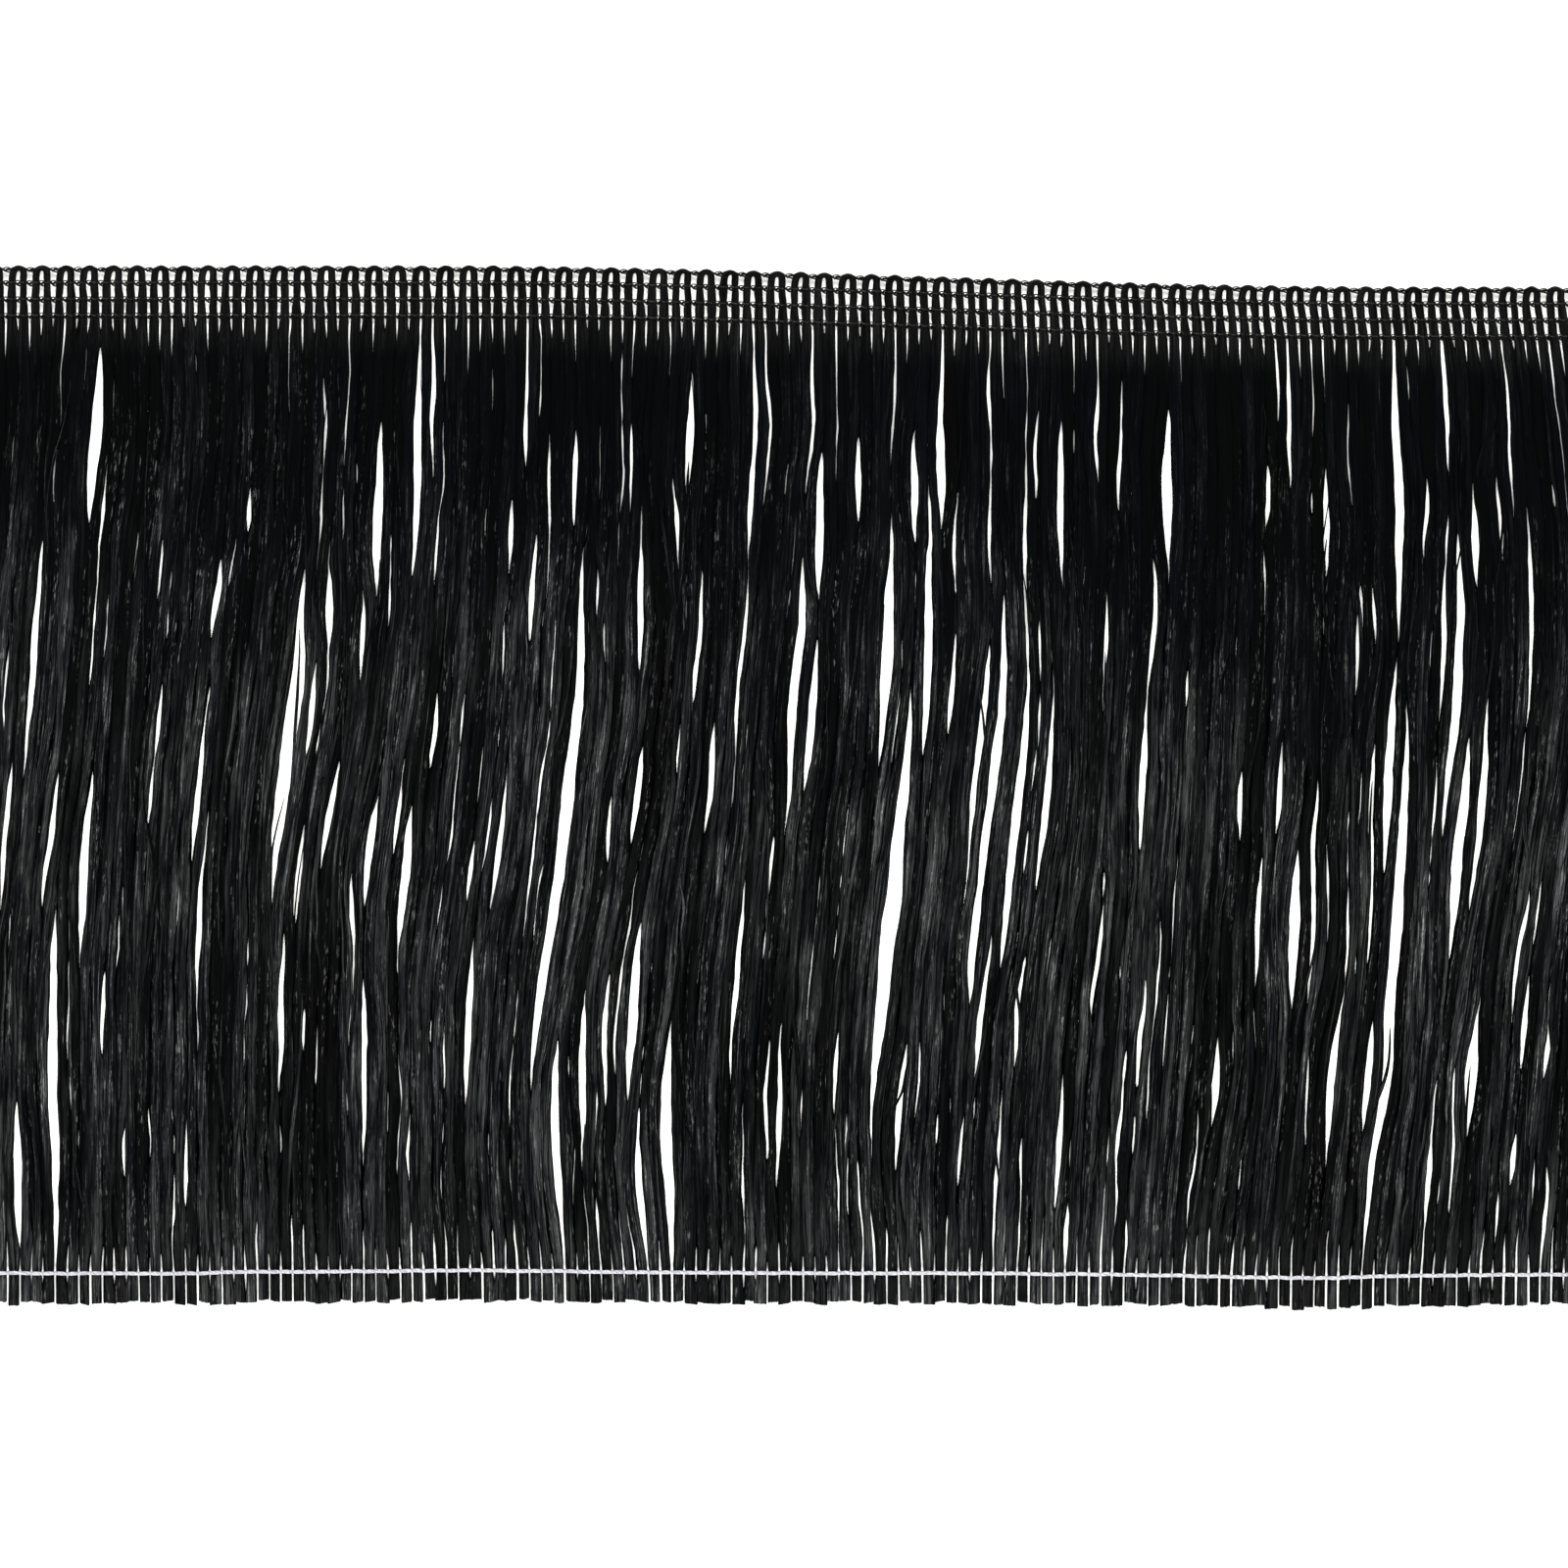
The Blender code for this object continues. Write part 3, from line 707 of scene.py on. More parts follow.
    def slit_widths(self, run: LegRun, rng: np.random.Generator) -> np.ndarray:
        """Width of the narrow slits that folded legs leave.

        They are sine lenses at the named places and at random ones, and tails that narrow on their way
        down from the root line.

        Args:
            run: the legs.
            rng: source of the random slits.

        Returns:
            Widths, shape (places, legs - 1).
        """
        slits = self.layout.leg_count - 1
        middle_x, middle_y = run.slit_middles()
        depth = self.layout.root_y(middle_x[0]) - middle_y
        width = np.zeros_like(middle_x)
        legs_end = float(depth[-1].mean())
        for slit in NARROW_SLITS:
            centre = 0.5 * (slit.starts + slit.ends) * MM
            place = int(np.argmin(np.abs(run.share - centre / legs_end)))
            nearest = int(np.argmin(np.abs(middle_x[place] - slit.x * MM)))
            length = self.slit_stretch * (slit.ends - slit.starts) * MM
            share = 0.5 + (depth[:, nearest] - centre) / length
            opened = self.slit_scale * slit.width * MM * lens(share, self.slit_fullness)
            width[:, nearest] = np.maximum(width[:, nearest], opened)
        for number in range(self.small_slits + self.long_slits):
            slit = int(rng.integers(0, slits))
            lengths = self.small_slit_mm if number < self.small_slits else self.long_slit_mm
            length = rng.uniform(*lengths) * MM
            start = (self.random_start + self.random_zone * rng.random() ** self.random_bias) * legs_end
            share = (depth[:, slit] - start) / length
            opened = rng.uniform(*self.random_width_mm) * MM * lens(share, self.random_fullness)
            width[:, slit] = np.maximum(width[:, slit], opened)
        tails = rng.choice(slits, self.root_tails, replace=False)
        reach = rng.uniform(*self.tail_mm, self.root_tails) * MM
        share = np.clip(depth[:, tails] / reach, 0.0, 1.0)
        tail = rng.uniform(*self.tail_width_mm, self.root_tails) * MM * (1.0 - share) ** self.tail_bow
        width[:, tails] = np.maximum(width[:, tails], tail)
        return width

    def root_slits(self, run: LegRun, rng: np.random.Generator) -> np.ndarray:
        """Share by which each slit is still open below the heading: a bow that closes over a few mm.

        Args:
            run: the legs.
            rng: source of the slits' lengths.

        Returns:
            Shares, shape (places, legs - 1).
        """
        middle_y = run.slit_middles()[1]
        depth = middle_y[0] - middle_y
        reach = self.root_taper_short
        reach = reach + (self.root_taper_long - reach) * rng.random(depth.shape[1]) ** self.root_taper_bias
        return np.clip(1.0 - depth / reach, 0.0, 1.0) ** self.root_bow

    def thread_slits(self, run: LegRun, rng: np.random.Generator) -> np.ndarray:
        """Width of the slit that the holding thread draws open between each two legs.

        It is widest at the thread and narrows evenly upwards and downwards. Some slits narrow so slowly
        downwards that they stay open to the cut ends.

        Args:
            run: the legs.
            rng: source of the slits' lengths and widths.

        Returns:
            Widths, shape (places, legs - 1).
        """
        slits = self.layout.leg_count - 1
        middle_x, middle_y = run.slit_middles()
        above = middle_y - self.layout.holding_y(middle_x)
        up = rng.uniform(*self.thread_up_mm, slits) * MM
        up = up + rng.random(slits) ** self.thread_up_bias * self.thread_far_up
        open_end = rng.random(slits) < self.open_end_share
        down = np.where(open_end, rng.uniform(*self.open_down_mm, slits),
                        rng.uniform(*self.closed_down_mm, slits)) * MM
        fall = np.where(above > 0.0, above / up, -above / down)
        width = self.thread_slit * rng.uniform(*self.thread_slit_change, slits)
        return width * np.clip(1.0 - fall, 0.0, 1.0)

    def ragged_edge(self, run: LegRun, rng: np.random.Generator) -> np.ndarray:
        """Draw how far each leg's edge strays: a slow wave and a fine ripple.

        Args:
            run: the legs.
            rng: source of the wave and the ripple.

        Returns:
            Strays, shape (places, legs).
        """
        legs = self.layout.leg_count
        wave = self.edge_wave * soft_noise(rng, legs, run.share, self.wave_knots)
        return wave + self.edge_ripple * soft_noise(rng, legs, run.share, self.ripple_knots)

    def half_widths(self, run: LegRun, rng: np.random.Generator) -> tuple[np.ndarray, np.ndarray]:
        """Reach of each leg to its left and right edge.

        Half the closed spacing, more where legs overlap, less at narrow slits, at the root and at the
        holding thread. Each seam wanders to one side and the other, and each edge is ragged.

        Args:
            run: the legs.
            rng: source of the slits, overlaps and edges.

        Returns:
            Left and right half widths, each of shape (places, legs).
        """
        slit = np.maximum(self.slit_widths(run, rng), self.thread_slits(run, rng))
        slits = slit.shape[1]
        overlap = 1.0 + soft_noise(rng, slits, run.share, self.overlap_knots)
        overlap = self.overlap * self.overlap_share * overlap
        overlap = overlap * np.clip(1.0 - slit / self.slit_edge, 0.0, 1.0)
        overlap = overlap * np.clip(1.0 - run.opening / self.opening_edge, 0.0, 1.0)
        overlap = overlap + 0.5 * self.gap_cover * run.opening / (run.opening + self.gap_cover)
        free = self.root_slits(run, rng)
        half = 0.5 * run.spacing[:, 1:-1] + overlap - 0.5 * slit
        half = half * (1.0 - free) + self.root_half * free
        shift = self.seam_shift * soft_noise(rng, slits, run.share, self.seam_knots)
        closed = np.clip(1.0 - run.opening / (2.0 * self.opening_edge), self.parted_seam, 1.0)
        unheld = 1.0 - ease(run.share, self.held_starts, self.held_full)[:, None]
        shift = shift * closed * unheld * (1.0 - free)
        end = self.outermost_half * (1.0 - free[:, :1]) + self.root_half * free[:, :1]
        left = np.concatenate([end, half - shift], axis=1)
        right = np.concatenate([half + shift, end], axis=1)
        ragged = ease(run.share, self.edge_starts, self.edge_full)[:, None] * mix(self.held_edge, 1.0, unheld)
        left = left + ragged * self.ragged_edge(run, rng)
        right = right + ragged * self.ragged_edge(run, rng)
        return (np.clip(left, self.narrowest_half, self.widest_half),
                np.clip(right, self.narrowest_half, self.widest_half))

    def leg_share(self) -> np.ndarray:
        """Places along a leg, a little closer together near both ends."""
        even = np.linspace(0.0, 1.0, self.leg_places)
        return even - self.leg_bunching * np.sin(2.0 * math.pi * even) / (2.0 * math.pi)

    def heading(self, rng: np.random.Generator) -> tuple[np.ndarray, ...]:
        """Run each leg through the heading, from the root line up to where its hump begins.

        The yarn is widest at the root line, narrows to the last row of stitches, and is pinched by each
        row.

        Args:
            rng: source of the legs' strays and widths.

        Returns:
            Places x and y, the outer and the inner half width, each of shape (places, legs), and the
            pinch of the rows, shape (places,).
        """
        plan = self.layout
        below = np.linspace(plan.heading_height, self.crown_depth, self.heading_places + 2)[1:-1]
        way = below / below.max()
        held = np.sin(math.pi * below / plan.heading_height)[:, None]
        stray = self.heading_stray * held * soft_noise(rng, plan.leg_count, way, self.heading_stray_knots)
        x = plan.heading_x(plan.root_x[None, :], below[:, None]) + stray
        y = plan.peak_y(plan.root_x)[None, :] - below[:, None]
        rows = np.array(plan.stitch_rows[1:])
        tight = self.tight_half + self.tight_spread * soft_noise(rng, plan.leg_count, way, self.tight_knots)
        wider = np.clip((below - self.crown_depth) / (rows[-1] - self.crown_depth), 0.0, 1.0)
        tight = tight + (self.root_half - self.tight_half) * wider[:, None] ** self.tight_bow
        pinch = bell(below[None, :] - rows[:, None], self.row_reach).sum(axis=0)
        tight = tight - self.row_pinch * pinch[:, None]
        inner = tight + self.lean_in * (1.0 - ease(below, self.crown_depth, self.lean_in_ends))[:, None]
        return x, y, tight, inner, pinch

    def humps(self, rng: np.random.Generator) -> tuple[np.ndarray, ...]:
        """Turn each loop over between the outer and the inner edge of its hump.

        Args:
            rng: source of the humps' heights and leans.

        Returns:
            Places x and y, half the width, each of shape (loops, places), and the direction from the
            inner to the outer edge, shape (loops, places, 2).
        """
        plan = self.layout
        crown_x = plan.heading_x(plan.root_x, self.crown_depth)
        middle = 0.5 * (crown_x[::2] + crown_x[1::2])[:, None]
        hump = np.array(HUMP) * MM
        hump = np.concatenate([hump * [-1.0, 1.0, -1.0, 1.0], hump[-2::-1]])
        sag = 1.0 + self.hump_change * rng.uniform(-1.0, 1.0, middle.shape)
        bend = plan.hump_lean + self.hump_shift * rng.uniform(-1.0, 1.0, middle.shape)
        bend = bend * (1.0 - hump[:, 1] / self.crown_depth)
        peak = plan.peak_y(middle)
        outer_edge = np.stack([middle + hump[:, 0] + bend, peak - hump[:, 1] * sag], axis=-1)
        inner_edge = np.stack([middle + hump[:, 2] + bend, peak - hump[:, 3] * sag], axis=-1)
        x, y = np.moveaxis(0.5 * (outer_edge + inner_edge), -1, 0)
        side = outer_edge - inner_edge
        half = 0.5 * np.linalg.norm(side, axis=-1)
        return x, y, half, side / (2.0 * half[:, :, None])

    def paths(self) -> LoopPath:
        """Lay out every loop's centre line, edges and pressed places.

        A loop runs up its first leg, through the heading, over the hump and down its second leg.

        Returns:
            The loops' paths.
        """
        plan = self.layout
        rng = np.random.default_rng(self.seed)
        run = plan.legs(self.leg_share())
        left, right = self.half_widths(run, rng)
        head_x, head_y, tight, tight_in, pinch = self.heading(rng)
        turn_x, turn_y, turn_half, turn_side = self.humps(rng)

        def joined(first_leg: np.ndarray, first_head: np.ndarray, crown: np.ndarray,
                   second_leg: np.ndarray, second_head: np.ndarray) -> np.ndarray:
            """Join values of shape (places, legs) and the crown's (loops, places) into loops."""
            return np.concatenate([first_leg[::-1, ::2].T, first_head[:, ::2].T, crown,
                                   second_head[::-1, 1::2].T, second_leg[:, 1::2].T], axis=1)

        depth = np.repeat(run.share[:, None], plan.leg_count, axis=1)
        pressed = np.repeat(pinch[:, None], plan.leg_count, axis=1)
        no_leg, no_head, no_crown = np.zeros_like(run.x), np.zeros_like(head_x), np.zeros_like(turn_x)
        x = joined(run.x, head_x, turn_x, run.x, head_x)
        before = self.leg_places + self.heading_places
        west = np.zeros((plan.loop_count, before, 2)) + [-1.0, 0.0]
        return LoopPath(
            x=x,
            y=joined(run.y, head_y, turn_y, run.y, head_y),
            side=np.concatenate([west, turn_side, -west], axis=1),
            outer=joined(left, tight, turn_half, right, tight),
            inner=joined(right, tight_in, turn_half, left, tight_in),
            drop=joined(depth, no_head, no_crown, depth, no_head),
            pressed=joined(no_leg, pressed, no_crown, no_leg, pressed),
        )

    def surface(self) -> SweptShell:
        """Sweep the folded yarn along every loop.

        Across the yarn, u runs from 1 at its outer edge to -1 at its inner edge. The upper side is an
        arch, 1 - fall |u|^fullness, on the loop's level. A few wide folds, a twist and many small folds
        are added to it: each has its own height, which drifts smoothly along the yarn. The under side is
        nearly flat and curls up at its edges.

        Returns:
            The shell of all loops.
        """
        path = self.paths()
        rng = np.random.default_rng(self.seed + 1)
        loops, sections = path.x.shape
        loose = ease(path.drop, 0.0, self.loose_full)
        crumple = ease(path.drop, self.crumple_starts, self.crumple_full)
        held = ease(path.drop, self.flat_starts, self.flat_full)

        def drift(knots: int) -> np.ndarray:
            """Draw values that drift smoothly along every loop, shape (loops, sections)."""
            return soft_noise(rng, loops, np.linspace(0.0, 1.0, sections), knots).T

        def down_leg(heading: float, flat: float, leg: float) -> np.ndarray:
            """Go from the heading's value to the flat upper leg's, and on to the crumpled leg's."""
            return mix(heading, mix(flat, leg, crumple), loose)

        level = mix(self.heading_level, self.leg_level, loose)
        level = level + self.level_swing * loose * (1.0 - self.held_calm * held) * drift(self.level_knots)
        thickness = down_leg(self.heading_thickness, self.flat_thickness, self.leg_thickness)
        thickness = thickness * (1.0 + self.thickness_swing * loose * drift(self.thickness_knots))
        thickness = thickness - self.press_depth * path.pressed
        thickness = thickness * (1.0 - self.held_thinning * held)

        top = np.linspace(1.0, -1.0, self.top_points)
        across = np.concatenate([top, np.linspace(-self.under_reach, self.under_reach, self.under_points)])
        is_top = np.arange(len(across)) < self.top_points
        fullness = down_leg(self.heading_fullness, self.flat_fullness, self.leg_fullness)
        fall = down_leg(self.heading_fall, self.flat_fall, self.leg_fall)
        arch = 1.0 - fall[:, :, None] * np.abs(across) ** fullness[:, :, None]

        folds = np.zeros((loops, sections, len(across)))
        crests, gap = np.linspace(-1.0, 1.0, self.wide_folds, retstep=True)
        for crest in crests:
            ridge = np.clip(1.0 - np.abs(across - crest) / gap, 0.0, 1.0)
            folds += self.wide_fold_height * drift(self.wide_fold_knots)[:, :, None] * ridge
        folds += self.twist_height * drift(self.wide_fold_knots)[:, :, None] * across
        small = self.small_fold_height * mix(self.smooth_small_folds, 1.0, crumple)
        for point in range(self.top_points):
            folds[:, :, point] += small * drift(self.small_fold_knots)
        strength = down_leg(self.heading_folds, self.smooth_folds, 1.0) * (1.0 - self.held_thinning * held)
        lift = folds * strength[:, :, None] * mix(self.edge_folds, 1.0, arch)

        thickness = thickness[:, :, None]
        level = level[:, :, None]
        high = level + thickness * arch + lift
        low = np.maximum(level - self.under_share * thickness, FLOOR_GAP)
        low = low + self.under_curl * (1.0 - arch) * thickness
        z = np.where(is_top, np.maximum(high, low + self.thinnest), low)

        offset = across * np.where(across > 0.0, path.outer[:, :, None], path.inner[:, :, None])
        points = np.empty((loops, sections, len(across), 3))
        points[..., 0] = path.x[:, :, None] + path.side[:, :, None, 0] * offset - self.layout.centre_x
        points[..., 1] = path.y[:, :, None] + path.side[:, :, None, 1] * offset
        points[..., 2] = z
        for end in (0, -1):
            slant = self.cut_slant * rng.uniform(-1.0, 1.0, (loops, 1)) * across
            points[:, end, :, 1] += slant + self.cut_fray * rng.uniform(-1.0, 1.0, (loops, len(across)))

        along = distance_along(np.stack([path.x, path.y], axis=-1))
        along = along + rng.uniform(0.0, PATTERN_STRAY, (loops, 1))
        marks = {"drop": path.drop, "tone": 0.5 + 0.5 * drift(self.tone_knots)}
        return SweptShell(points=points, along=along, marks=marks)

    def build(self, whole: SweptShell, material: bpy.types.Material) -> None:
        """Build the yarn in a few pieces of neighbouring loops, from left to right.

        Args:
            whole: the shell of all loops.
            material: its finish.
        """
        groups = np.array_split(np.arange(self.layout.loop_count), self.piece_count)
        for number, group in enumerate(groups, start=1):
            part = SweptShell(whole.points[group], whole.along[group],
                              {name: values[group] for name, values in whole.marks.items()})
            piece = part.build(f"raffia_loops_{number}", material, creased=True)
            settle_piece(piece, "raffia_fringe")


@dataclass(frozen=True)
class SplitStrands:
    """Thin strands that have split off the yarn and lie on the legs. Some cross to a leg beside."""

    count: int = 400
    places: int = 36
    end_margin: float = 2.0
    shortest: float = 22.0 * MM
    longest: float = 85.0 * MM
    thinnest: float = 0.14 * MM
    thickest: float = 0.42 * MM
    thin_ends: float = 0.25
    width_change: float = 0.25
    width_knots: int = 9
    least_rise: float = 0.096 * MM
    sink: float = 0.3 * MM
    ridge_height: float = 0.8
    crest_stray: float = 0.35
    crest_knots: int = 7
    furthest_across: float = 0.85
    ends_across: float = 0.75
    wander: float = 0.3
    wander_knots: int = 6
    crossing_share: float = 0.55
    crossing_reach: float = 3.6 * MM
    crossing_height: float = 1.45 * MM
    crossing_zone: tuple[float, float] = (0.15, 0.85)
    lifting_zone: tuple[float, float] = (0.2 * MM, 0.7 * MM)
    tone_knots: int = 3
    seed: int = 33

    def on_yarn(self, yarn: SweptShell, top_points: int, loop: np.ndarray, place: np.ndarray,
                across: np.ndarray) -> np.ndarray:
        """Read points on the yarn's upper side, evenly between its four nearest ring points.

        Args:
            yarn: the shell of the loops.
            top_points: number of ring points on the yarn's upper side.
            loop: numbers of the loops, shape (strands, 1).
            place: places along the loops in sections, shape (strands, places).
            across: places across the yarn from 1 to -1, shape (strands, places).

        Returns:
            Points, shape (strands, places, 3).
        """
        low = place.astype(int)
        column = (1.0 - across) * 0.5 * (top_points - 1)
        left = np.clip(column.astype(int), 0, top_points - 2)
        beside = (column - left)[..., None]
        points = yarn.points
        near = points[loop, low, left] * (1.0 - beside) + points[loop, low, left + 1] * beside
        far = points[loop, low + 1, left] * (1.0 - beside) + points[loop, low + 1, left + 1] * beside
        return mix(near, far, (place - low)[..., None])

    def surface(self, yarn: SweptShell, top_points: int) -> SweptShell:
        """Lay the strands on the upper side of the yarn.

        Each strand's middle wanders across one leg's upper side. Its section is a low ridge of two
        slopes over a keel. Its ends taper and sink into the leg.

        Args:
            yarn: the shell of the loops.
            top_points: number of ring points on the yarn's upper side.

        Returns:
            The shell of the strands.
        """
        rng = np.random.default_rng(self.seed)
        loops, sections = yarn.points.shape[:2]
        drop = yarn.marks["drop"]
        single = (self.count, 1)
        loop = rng.integers(0, loops, self.count)[:, None]
        turn = int(np.argmax(drop[0] <= 0.0)) + 1
        second = rng.random(self.count)[:, None] < 0.5
        length = rng.uniform(self.shortest, self.longest, self.count)[:, None]
        span = length / float(np.median(np.diff(yarn.along[0])))
        share = np.linspace(0.0, 1.0, self.places)
        start = rng.uniform(self.end_margin, turn - self.end_margin - span[:, 0])[:, None]
        place = start + span * share
        place = np.where(second, sections - 1.0 - place, place)

        def drift(knots: int) -> np.ndarray:
            """Draw values that drift smoothly along every strand, shape (strands, places)."""
            return soft_noise(rng, self.count, share, knots).T

        ends = rng.uniform(-self.ends_across, self.ends_across, (2, self.count, 1))
        across = ends[0] * (1.0 - share) + ends[1] * share
        across = np.clip(across + self.wander * drift(self.wander_knots),
                         -self.furthest_across, self.furthest_across)
        middle = self.on_yarn(yarn, top_points, loop, place, across)

        crossing = rng.uniform(0.0, 1.0, single) < self.crossing_share
        stray = crossing * rng.uniform(-1.0, 1.0, single) * self.crossing_reach
        stray = stray * ease(share, *self.crossing_zone)
        gone = ease(np.abs(stray), *self.lifting_zone)
        middle[..., 0] += stray
        middle[..., 2] = mix(middle[..., 2], self.crossing_height, gone)

        taper = lens(share, 0.5)
        half = rng.uniform(self.thinnest, self.thickest, single) * mix(self.thin_ends, 1.0, taper)
        half = half * (1.0 + self.width_change * drift(self.width_knots))
        lift = self.least_rise * (1.0 + rng.random(single))
        height = middle[..., 2] + (lift + self.sink) * taper - self.sink
        crest = self.crest_stray * drift(self.crest_knots)
        ring_x = np.stack([np.ones_like(crest), crest, -np.ones_like(crest), np.zeros_like(crest)], axis=-1)
        ring_z = self.ridge_height * np.array([0.0, 1.0, 0.0, -1.0])
        ring = np.repeat(middle[:, :, None, :], 4, axis=2)
        ring[..., 0] += ring_x * half[..., None]
        ring[..., 2] = np.maximum(height[..., None] + ring_z * half[..., None], FLOOR_GAP)
        along = length * share + rng.uniform(0.0, PATTERN_STRAY, single)
        marks = {"drop": drop[loop, place.astype(int)], "tone": 0.5 + 0.5 * drift(self.tone_knots)}
        return SweptShell(points=ring, along=along, marks=marks)

    def build(self, yarn: SweptShell, top_points: int, material: bpy.types.Material) -> None:
        """Build all the strands as one piece.

        Args:
            yarn: the shell of the loops.
            top_points: number of ring points on the yarn's upper side.
            material: the strands' finish.
        """
        piece = self.surface(yarn, top_points).build("split_strands", material, creased=True)
        settle_piece(piece, "raffia_fringe")


class StitchPoint(NamedTuple):
    """One point of a strand's repeat: share of the repeat, mm towards the humps, and mm above the floor."""

    share: float
    up: float
    height: float


Strand = tuple[StitchPoint, ...]


def strand(*rows: tuple[float, float, float]) -> Strand:
    """Name the values of a strand's points."""
    return tuple(StitchPoint(*row) for row in rows)


def tube(path: np.ndarray, radius: float | np.ndarray, sides: int) -> np.ndarray:
    """Sweep a round section along paths.

    Each section is a circle in the plane of the side and upward directions, square to the path.

    Args:
        path: centre lines, shape (strands, sections, 3).
        radius: radius of the threads, one value or one for each strand.
        sides: points of a section.

    Returns:
        Ring points, shape (strands, sections, sides, 3).
    """
    ahead = np.gradient(path, axis=1)
    ahead = ahead / np.linalg.norm(ahead, axis=-1, keepdims=True)
    side = np.cross(ahead, np.array([0.0, 0.0, 1.0]))
    side = side / np.maximum(np.linalg.norm(side, axis=-1, keepdims=True), TINY)
    up = np.cross(side, ahead)
    angle = (2.0 * math.pi * (np.arange(sides) + 0.5) / sides)[:, None]
    ring = np.cos(angle) * side[:, :, None, :] + np.sin(angle) * up[:, :, None, :]
    return path[:, :, None, :] + radius * ring


def repeated(points: Strand, place: np.ndarray) -> tuple[np.ndarray, np.ndarray]:
    """Read a strand's repeat at places along its row, with an eased blend between its points.

    Args:
        points: the repeat, from share 0 to less than 1.
        place: places in repeats.

    Returns:
        Rise towards the humps and height above the floor, in metres.
    """
    table = np.array(points)
    table = np.concatenate([table, table[:1] + [[1.0, 0.0, 0.0]]])
    share = np.mod(place, 1.0)
    low = np.clip(np.searchsorted(table[:, 0], share, side="right") - 1, 0, len(table) - 2)
    span = table[low + 1, 0] - table[low, 0]
    blend = ease((share - table[low, 0]) / span, 0.0, 1.0)
    values = mix(table[low], table[low + 1], blend[:, None])
    return values[:, 1] * MM, values[:, 2] * MM


class StitchRow(Enum):
    """The two kinds of row in the heading: one on the humps, and those across the band below them."""

    HUMPS = "humps"
    BAND = "band"


